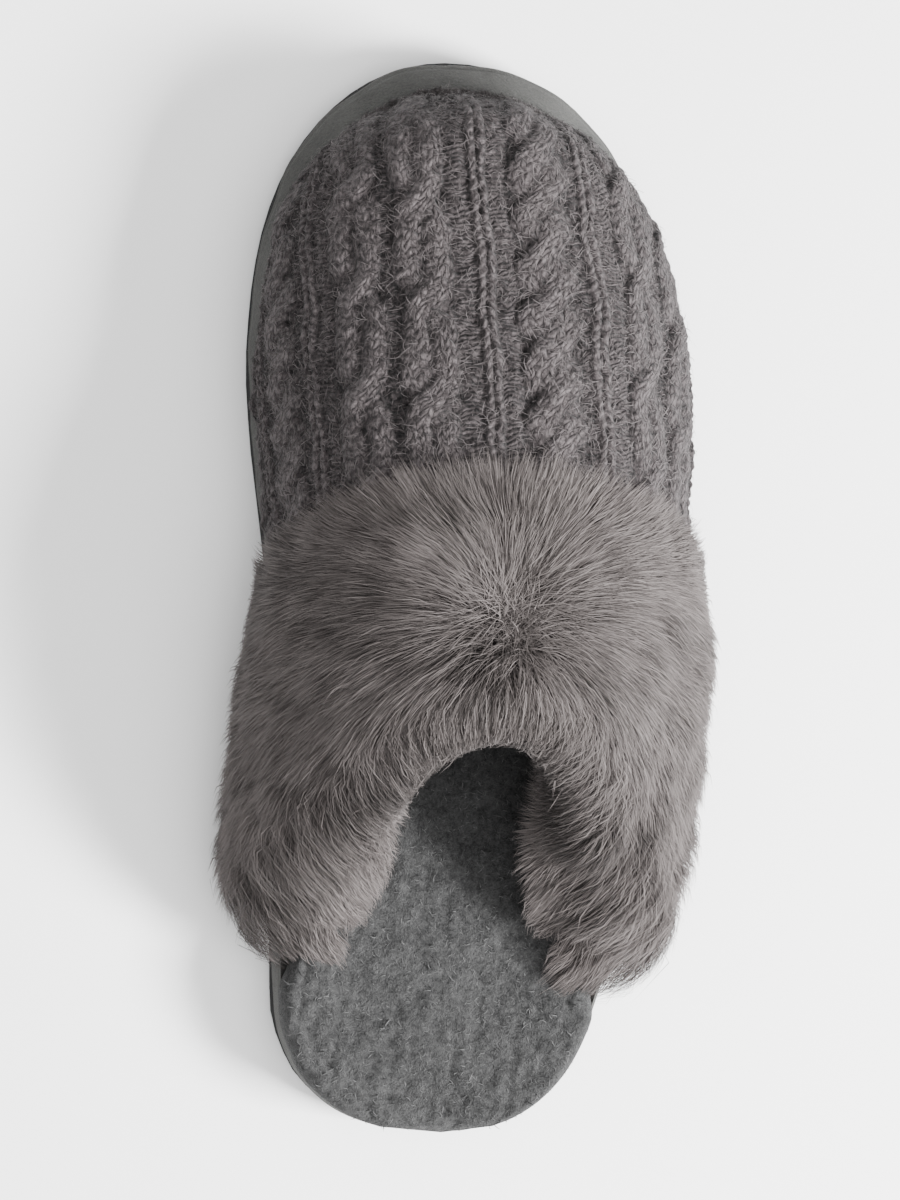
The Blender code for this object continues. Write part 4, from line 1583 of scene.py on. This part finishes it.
    def grow(self, pelt: Pelt, i: Array, j: Array, twist: Array, length: Array, stand: Array) -> Array:
        """Paths of strands that follow the surface while they rise to the pile's height.

        Args:
            pelt: The base's fields.
            i: Fractional rows of the roots.
            j: Fractional columns of the roots.
            twist: Angle by which each strand leaves the flow.
            length: Length of each strand.
            stand: Factor on the pile's height.

        Returns:
            One point more than SEGMENTS a strand.
        """
        normal = unit(self.read(pelt.normal, i, j))
        flow = self.read(pelt.flow, i, j)
        flow = unit(flow * np.cos(twist)[:, None] + np.cross(normal, flow) * np.sin(twist)[:, None])
        step = length / SEGMENTS
        crown = self.read(pelt.crown, i, j)
        path = [self.read(pelt.base, i, j) - normal * self.sunk]
        for k in range(1, SEGMENTS + 1):
            down, across = self.read(pelt.down, i, j), self.read(pelt.across, i, j)
            pairs = ((down, down), (across, across), (down, across), (flow, down), (flow, across))
            dd, aa, da, fd, fa = (np.sum(a * b, axis=-1) for a, b in pairs)
            det = np.maximum(dd * aa - da * da, 1e-18)
            lean = (0.60 + 0.13 * k) * (1.0 + crown * (0.35 if k == SEGMENTS else -0.75))
            i = i + np.clip(step * lean * (fd * aa - fa * da) / det, -6.0, 6.0)
            j = j + np.clip(step * lean * (fa * dd - fd * da) / det, -9.0, 9.0)
            here = unit(self.read(pelt.normal, i, j))
            flow = unit(flow - here * np.sum(flow * here, axis=-1, keepdims=True))
            rise = self.read(pelt.pile, i, j) * stand * math.sin(0.5 * math.pi * (k / SEGMENTS) ** 0.85)
            path.append(self.read(pelt.base, i, j) + here * rise[:, None])
        return np.stack(path, axis=1)

    def gathered(self, paths: Array, cells: Array, pelt: Pelt, i: Array, j: Array, pull: float) -> Array:
        """Strands drawn toward the middle strand of their cell, more toward the tip.

        Args:
            paths: Points of the strands.
            cells: Number of each strand's cell.
            pelt: The base's fields.
            i: Fractional rows of the roots.
            j: Fractional columns of the roots.
            pull: Share drawn in at the tip.

        Returns:
            The gathered points.
        """
        _, cell = np.unique(cells, return_inverse=True)
        count = np.maximum(np.bincount(cell), 1.0)
        mean_i = np.bincount(cell, i) / count
        mean_j = np.bincount(cell, j) / count
        rng = np.random.default_rng(self.seed + len(count))
        twist = rng.normal(0.0, 0.22, len(count))
        size = self.length * rng.uniform(0.80, 1.12, len(count))
        stand = rng.uniform(0.86, 1.16, len(count))
        guide = self.grow(pelt, mean_i, mean_j, twist, size, stand)
        held = pull * (1.0 - 0.85 * self.read(pelt.crown, i, j))[:, None, None]
        weight = held * (np.arange(SEGMENTS + 1) / SEGMENTS)[None, :, None] ** 1.3
        return paths * (1.0 - weight) + guide[cell] * weight

    def cells(self, pelt: Pelt, i: Array, j: Array, size: float) -> Array:
        """Number of the uneven cell that each root falls in.

        Args:
            pelt: The base's fields.
            i: Fractional rows of the roots.
            j: Fractional columns of the roots.
            size: About how wide a cell is.

        Returns:
            One whole number a root.
        """
        run_down = np.cumsum(np.linalg.norm(pelt.down, axis=-1), axis=0)
        run_across = np.cumsum(np.linalg.norm(pelt.across, axis=-1), axis=1)
        run_across = run_across - run_across[:, run_across.shape[1] // 2, None]
        a, b = self.read(run_down, i, j) / size, self.read(run_across, i, j) / size
        a = a + 0.35 * np.sin(2.1 * b) + 0.25 * np.sin(5.3 * b + 1.0)
        b = b + 0.35 * np.sin(1.7 * a + 0.6) + 0.2 * np.sin(4.9 * a)
        return (np.floor(a) + 400).astype(int) * 2000 + (np.floor(b) + 800).astype(int)

    @staticmethod
    def tufts(root: Array) -> tuple[Array, Array]:
        """Changes made by the tufts, each fading as a bell from its own line.

        Args:
            root: Places of the roots.

        Returns:
            Change of stand and of tone at each root, the tone change being painted light and shade.
        """
        stand, tone = np.zeros(len(root)), np.zeros(len(root))
        for tuft in TUFTS:
            start = np.array([tuft.x0, tuft.y0]) * MM
            run = np.array([tuft.x1, tuft.y1]) * MM - start
            from_start = root[:, :2] - start
            share = np.clip(from_start @ run / (run @ run), 0.0, 1.0)
            away = np.linalg.norm(from_start - share[:, None] * run, axis=-1)
            fade = np.exp(-((away / (tuft.width * MM)) ** 2))
            stand += tuft.stand * fade
            tone += tuft.tone * fade
        return stand, tone

    def build_fur(self, finish: bpy.types.Material) -> None:
        """All strands, shared out over four pieces by place.

        Args:
            finish: Material of the strands.
        """
        rng = np.random.default_rng(self.seed)
        pelt = self.pelt()
        i, j = self.roots(pelt, rng)
        root = self.read(pelt.base, i, j)
        count = self.strands
        crown = self.read(pelt.crown, i, j)
        twist = 0.26 * ripple(root, 0.011, 3) + 0.13 * ripple(root, 0.004, 4)
        twist = twist + rng.normal(0.0, 1.0, count) * (0.18 + 2.0 * crown)
        shortest = 0.66 - 0.26 * self.read(pelt.arm, i, j)
        length = self.length * (shortest + (1.18 - shortest) * rng.uniform(0.0, 1.0, count))
        length = length * (1.0 - 0.15 * crown)
        low = self.read(np.broadcast_to(self.spread(pelt.share.shape[1]), pelt.share.shape), i, j)
        length = length * (1.0 - 0.22 * soft_step(0.80, 1.0, low))
        stand = rng.uniform(0.66, 1.12, count) + 0.12 * ripple(root, 0.007, 6) + 0.05 * crown
        stand_more, painted_tone = self.tufts(root)
        stand = stand + stand_more
        guard = rng.uniform(0.0, 1.0, count) < 0.07
        length = np.where(guard, length * 1.18, length)
        stand = np.where(guard, stand + 0.16, stand)
        paths = self.grow(pelt, i, j, twist, length, stand)
        paths = self.gathered(paths, self.cells(pelt, i, j, self.lock), pelt, i, j, 0.18)
        paths = self.gathered(paths, self.cells(pelt, i, j, self.clump), pelt, i, j, 0.26)
        tangent = unit(np.gradient(paths, axis=1))
        normal = unit(self.read(pelt.normal, i, j))[:, None, :]
        flat = unit(np.cross(tangent, normal))
        tilt = rng.uniform(-0.7, 0.7, count)[:, None, None]
        across = unit(flat * np.cos(tilt) + np.cross(tangent, flat) * np.sin(tilt))
        widths = rng.uniform(0.8, 1.2, count)[:, None] * np.array([0.00022, 0.00021, 0.00016])
        tone = rng.uniform(0.0, 1.0, count) + 0.32 * ripple(root, 0.0035, 8) + np.where(guard, 0.5, 0.0)
        # Tone from the tufts: painted light on lit tufts and painted shade in partings.
        tone = tone + painted_tone + 0.15 * ripple(root, 0.014, 18)
        share = self.read(pelt.share, i, j)
        aside = j - 0.5 * pelt.base.shape[1]
        lip = share < self.lip_share
        front = ~lip & (np.abs(aside) < self.front_half)
        rest = ~(lip | front)
        groups = {
            "fur_lip": lip,
            "fur_front": front,
            "fur_medial": rest & (aside < 0.0),
            "fur_lateral": rest & (aside >= 0.0),
        }
        for name, chosen in groups.items():
            corners, faces = fibre_strips(paths[chosen], across[chosen], widths[chosen])
            values = fibre_values(tone[chosen])
            settle(make_piece(name, corners, faces, finish, values), "fur", "fur_cuff")

    def build_skin(self, finish: bpy.types.Material) -> bpy.types.Object:
        """Felted skin under the strands, dark as painted shade deep in the pile: a closed sheet round the
        lip.

        Args:
            finish: Its material.

        Returns:
            The piece.
        """
        base, share = self.base_grid()
        keep = (share[:, 0] > -0.36) & (share[:, 0] < 1.02)
        side = self.hang_columns - 3
        base = base[keep][::2, side:-side:2]
        normal = grid_normals(base)
        thick = self.felt + 0.25 * self.felt * ripple(base, 0.004, 9)
        edge = np.clip(np.minimum(np.arange(len(base)), np.arange(len(base))[::-1]) / 3.0, 0.0, 1.0)
        top = base + normal * (thick * (0.2 + 0.8 * edge[:, None]))[..., None]
        bottom = base - normal * self.sunk
        rows, columns = base.shape[:2]
        points = np.concatenate([top.reshape(-1, 3), bottom.reshape(-1, 3)])
        low = rows * columns
        quads = [grid_quads(rows, columns), grid_quads(rows, columns, low)[:, ::-1]]
        j = np.arange(columns - 1)
        for row, flip in ((0, 1), (rows - 1, -1)):
            a = row * columns + j
            quads.append(np.stack([a + 1, a, low + a, low + a + 1], axis=-1)[:, ::flip])
        i = np.arange(rows - 1) * columns
        for column, flip in ((0, 1), (columns - 1, -1)):
            a = i + column
            quads.append(np.stack([a, a + columns, low + a + columns, low + a], axis=-1)[:, ::flip])
        return settle(make_piece("fur_skin", points, quads, finish), "fur", "fur_cuff")

    def build(self, fur: bpy.types.Material, skin: bpy.types.Material) -> None:
        """All pieces of the cuff, with the materials of strands and skin."""
        self.build_skin(skin)
        self.build_fur(fur)


def sole_ring(u: Array, inset_medial: Array, inset_lateral: Array, height: Array) -> Array:
    """Closed ring of the outline: medial side heel to toe, then lateral side toe to heel.

    Args:
        u: Turns of the medial side's points.
        inset_medial: Inset of each point on the medial side.
        inset_lateral: Inset of each point on the lateral side.
        height: Height at each turn.

    Returns:
        Points of the ring.
    """
    medial = LAST.outline(u, MEDIAL, inset_medial)
    lateral = LAST.outline(u, LATERAL, inset_lateral)[-2:0:-1]
    heights = np.concatenate([height, height[-2:0:-1]])
    return np.column_stack([np.concatenate([medial, lateral]), heights]) + LAST.shift()


def ring_caps(rows: int, ring: int, samples: int) -> list[Array]:
    """Quads and end triangles that close the first and last ring of a slab across its width.

    Args:
        rows: Number of rings.
        ring: Points a ring.
        samples: Points of its medial side.

    Returns:
        Arrays of indices.
    """
    faces = []
    for row, flip in ((0, -1), (rows - 1, 1)):
        i = np.arange(1, samples - 2)
        first = row * ring
        quads = first + np.stack([ring - i, i, i + 1, ring - i - 1], axis=-1)
        ends = first + np.array([[0, 1, ring - 1], [samples - 2, samples - 1, samples]])
        faces.append(quads[:, ::-flip])
        faces.append(ends[:, ::flip])
    return faces


@dataclass
class SuedeBand:
    """Wrapped platform: a suede side that leans in toward the toe, with a stitched groove."""

    samples: int = 300
    levels: int = 20
    curve: float = 1.12
    seam: float = 0.16
    seam_depth: float = 0.0005
    seam_width: float = 0.035
    top_tuck: float = 0.0006
    dent: float = 0.00030
    dent_size: float = 0.011

    def build(self, finish: bpy.types.Material) -> bpy.types.Object:
        """Side as rings from the underside to the feather edge, closed above and below.

        Each ring is the outline moved in by the lean times a rounded share of the height,
        with a narrow groove low down and soft dents that follow the wrapped foam.

        Args:
            finish: Its material.

        Returns:
            The piece.
        """
        u = np.linspace(0.0, 1.0, self.samples)
        rings, worn = [], []
        for level in np.linspace(0.0, 1.0, self.levels):
            share = level**self.curve
            groove = self.seam_depth * math.exp(-(((level - self.seam) / self.seam_width) ** 2))
            tuck = LAST.side_step * math.exp(-level / 0.05) + self.top_tuck * soft_step(0.93, 1.0, level)
            height = LAST.midsole_base(u) + (LAST.midsole_top(u) - LAST.midsole_base(u)) * level
            medial, lateral = (
                self.dent * ripple(np.column_stack([LAST.edge(u, side), height]), self.dent_size, seed)
                for side, seed in ((MEDIAL, 31), (LATERAL, 32))
            )
            inset = LAST.feather(u) * share + groove + tuck
            rings.append(sole_ring(u, inset + medial, inset + lateral, height))
            worn.append(np.full(len(rings[-1]), soft_step(0.75, 1.0, level) + soft_step(0.2, 0.0, level)))
        ring = len(rings[0])
        faces = [grid_quads(self.levels, ring, wrap=True), *ring_caps(self.levels, ring, self.samples)]
        values = {"worn": np.concatenate(worn)}
        piece = make_piece("suede_band", np.stack(rings), faces, finish, values)
        return settle(piece, "suede_band", "midsole")


@dataclass
class FleeceFootbed:
    """Fleece-covered footbed: pillowy rim, dished under the foot, with short curled pile."""

    samples: int = 260
    columns: int = 78
    rim: float = 0.0036
    dish: float = 0.0016
    dish_reach: float = 0.022
    pile: float = 0.0007
    pile_fade: float = 0.004
    hidden_from: float = 0.42
    fibres: int = 12000
    seed: int = 5

    def inset(self, u: Array, side: float) -> Array:
        """Inset of the footbed's edge: out to the rim at the open heel, inside the wall farther on.

        Args:
            u: Turns.
            side: MEDIAL or LATERAL.

        Returns:
            One inset a turn.
        """
        arm_end = LAST.arm_end_medial if side == MEDIAL else LAST.arm_end_lateral
        roll = LAST.cuff_roll / LAST.length
        covered = soft_step(arm_end - 3.25 * roll, arm_end - 1.5 * roll, station(u))
        toe_room = 0.6 * LAST.wall * soft_step(0.90, 1.0, station(u))
        return LAST.feather(u) + covered * (LAST.wall + LAST.gap) + toe_room

    def surface(self) -> Array:
        """Rows across the foot from rim to rim, with the underside's height at both ends.

        A point at a share of the way across lies on the line between both edges, at a height
        that rises as a quarter round over the rim and sinks a little in the middle.

        Returns:
            A grid of points, heel to toe and medial to lateral.
        """
        u = turn(np.linspace(0.0, 1.0, self.samples) * 0.985 + 0.0075)
        u = np.concatenate([[0.0], u, [1.0]])
        thick = LAST.footbed * LAST.section("footbed", u)
        medial_in, lateral_in = self.inset(u, MEDIAL), self.inset(u, LATERAL)
        left = LAST.outline(u, MEDIAL, medial_in)
        right = LAST.outline(u, LATERAL, lateral_in)
        spaced = 0.5 * (1.0 - np.cos(np.linspace(0.04, 1.0, self.columns) * np.pi))
        share = np.concatenate([[0.0, 0.0], spaced, [1.0]])
        width = np.linalg.norm(right - left, axis=-1)[:, None]
        plan = left[:, None] + (right - left)[:, None] * share[None, :, None]
        near = np.minimum(share, 1.0 - share)[None, :] * width
        ends = np.minimum(station(u), 1.0 - station(u))[:, None] * LAST.length
        near = np.minimum(near, ends * 0.8)
        rise = np.sqrt(np.clip(1.0 - (1.0 - np.clip(near / self.rim, 0.0, 1.0)) ** 2, 0.0, 1.0))
        sink = self.dish * soft_step(0.0, self.dish_reach, near)
        height = LAST.seat(u)[:, None] + thick[:, None] * (0.30 + 0.70 * rise) - sink
        height[:, [0, -1]] = LAST.seat(u)[:, None]
        grid = np.concatenate([plan, height[..., None]], axis=-1) + LAST.shift()
        bumps = self.pile * (0.5 * ripple(grid, 0.0032, 41) + 0.5 * ripple(grid, 0.0016, 42))
        normal = grid_normals(grid)
        normal = np.where(normal[..., 2:3] < 0.0, -normal, normal)
        bumps[:, :2] = 0.0
        bumps[:, -2:] = 0.0
        return grid + normal * (bumps * soft_step(0.0, self.pile_fade, near))[..., None]

    def build_pad(self, grid: Array, finish: bpy.types.Material) -> bpy.types.Object:
        """The pad, closed underneath between its outermost columns.

        Args:
            grid: Points of its surface.
            finish: Its material.

        Returns:
            The piece.
        """
        rows, columns = grid.shape[:2]
        i = np.arange(rows - 1) * columns
        under = np.stack([i, i + columns, i + 2 * columns - 1, i + columns - 1], axis=-1)
        faces = [grid_quads(rows, columns)[:, ::-1], under[:, ::-1]]
        piece = make_piece("footbed_fleece", grid, faces, finish)
        return settle(piece, "fleece_footbed", "insole")

    def build_pile(self, grid: Array, finish: bpy.types.Material) -> bpy.types.Object:
        """Short curled fibres over the pad, dense where the open heel shows it.

        Args:
            grid: Points of the pad's surface.
            finish: Their material.

        Returns:
            The piece.
        """
        rng = np.random.default_rng(self.seed)
        columns = grid.shape[1]
        across, down = np.diff(grid, axis=1)[:-1], np.diff(grid, axis=0)[:, :-1]
        area = np.linalg.norm(np.cross(down, across), axis=-1)
        share = (grid[:-1, :-1, 1] - LAST.shift()[1]) / LAST.length
        weight = np.cumsum((area * np.where(share < self.hidden_from, 1.0, 0.12)).ravel())
        cell = np.searchsorted(weight, rng.uniform(0.0, weight[-1], self.fibres))
        i, j = cell // (columns - 1), cell % (columns - 1)
        s, t = rng.uniform(0.0, 1.0, (2, self.fibres, 1))
        root = grid[i, j] * (1 - s) * (1 - t) + grid[i + 1, j] * s * (1 - t)
        root = root + grid[i, j + 1] * (1 - s) * t + grid[i + 1, j + 1] * s * t
        normal = unit(np.cross(grid[i, j + 1] - grid[i, j], grid[i + 1, j] - grid[i, j]))
        normal = np.where(normal[:, 2:3] < 0.0, -normal, normal)
        flat = unit(np.cross(normal, rng.normal(size=(self.fibres, 3))))
        side = np.cross(normal, flat)
        bend = rng.uniform(-2.4, 2.4, self.fibres)[:, None]
        length = rng.uniform(0.0012, 0.0028, self.fibres)[:, None]
        lift = rng.uniform(0.1, 0.55, self.fibres)[:, None]
        curl = Curl(np.zeros_like(bend), bend, length, lift)
        widths = np.array([0.00020, 0.00018, 0.00014])
        start = root - normal * 0.0003
        corners, faces = curled_fibres(start, (normal, flat, side), curl, (1.4, 0.6), widths)
        values = fibre_values(rng.uniform(0.0, 1.0, self.fibres))
        return settle(make_piece("footbed_pile", corners, faces, finish, values), "fleece_footbed")

    def build(self, fleece: bpy.types.Material, pile: bpy.types.Material) -> None:
        """Pad and pile over one surface, with their materials.

        Args:
            fleece: Material of the pad.
            pile: Material of the fibres.
        """
        grid = self.surface()
        self.build_pad(grid, fleece)
        self.build_pile(grid, pile)


@dataclass(frozen=True)
class Studio:
    """Pale floor, soft lights and the camera."""

    aim: tuple[float, float] = (-0.0016, -0.0007)
    distance: float = 0.95
    tilt_deg: float = 6.5
    lens: float = 155.6
    floor_size: float = 3.0

    def camera(self) -> None:
        """Nearly overhead, leaning toward the medial side, toe up in the picture."""
        data = bpy.data.cameras.new("camera")
        data.lens = self.lens
        data.sensor_width = 36.0
        data.sensor_fit = "HORIZONTAL"
        data.clip_start = 0.01
        made = bpy.data.objects.new("camera", data)
        tilt = math.radians(self.tilt_deg)
        back = Vector((-math.sin(tilt), 0.0, math.cos(tilt)))
        made.location = Vector((*self.aim, 0.0)) + back * self.distance
        made.rotation_euler = (0.0, -tilt, 0.0)
        bpy.context.scene.collection.objects.link(made)
        bpy.context.scene.camera = made

    def lamp(self, name: str, place: tuple[float, float, float], size: float, power: float) -> None:
        """Square soft light aimed at the shoe's middle.

        Args:
            name: Its name.
            place: Where it stands.
            size: Side of its square.
            power: Its power in watts.
        """
        data = bpy.data.lights.new(name, "AREA")
        data.size = size
        data.energy = power
        made = bpy.data.objects.new(name, data)
        made.location = place
        made.rotation_euler = (Vector((0.0, 0.0, 0.03)) - Vector(place)).to_track_quat("-Z", "Y").to_euler()
        bpy.context.scene.collection.objects.link(made)

    def build(self, finish: bpy.types.Material) -> None:
        """Floor, world light, lamps and camera.

        Args:
            finish: Material of the floor.
        """
        half = 0.5 * self.floor_size
        corners = half * np.array([[-1.0, -1.0, 0.0], [1.0, -1.0, 0.0], [1.0, 1.0, 0.0], [-1.0, 1.0, 0.0]])
        floor = make_piece("floor", corners, [np.array([[0, 1, 2, 3]])], finish)
        world = bpy.data.worlds.new("soft_room")
        world.use_nodes = True
        backdrop = world.node_tree.nodes["Background"]
        backdrop.inputs["Color"].default_value = (1.0, 1.0, 1.0, 1.0)
        backdrop.inputs["Strength"].default_value = 0.95
        bpy.context.scene.world = world
        self.lamp("key", (0.80, -0.34, 0.74), 0.35, 70.0)
        self.lamp("top", (0.10, -0.15, 1.30), 0.90, 18.0)
        self.camera()


def main() -> None:
    """Build every sub-assembly in order."""
    logging.basicConfig(level=logging.INFO, format="%(name)s %(message)s")
    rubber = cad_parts["outsole"].data.materials
    rubber.clear()
    rubber.append(RubberFinish().material())
    SuedeBand().build(SuedeFinish().material())
    FleeceFootbed().build(GREY_FLEECE.material(), FLEECE_PILE.material())
    KnitUpper().build(KnitFinish().material(), GREY_LINING.material(), KNIT_FUZZ.material())
    FurCuff().build(TAUPE_FUR.material(), FUR_SKIN.material())
    Studio().build(PlainFinish().material())
    bpy.context.view_layer.update()


if __name__ == "__main__":
    main()
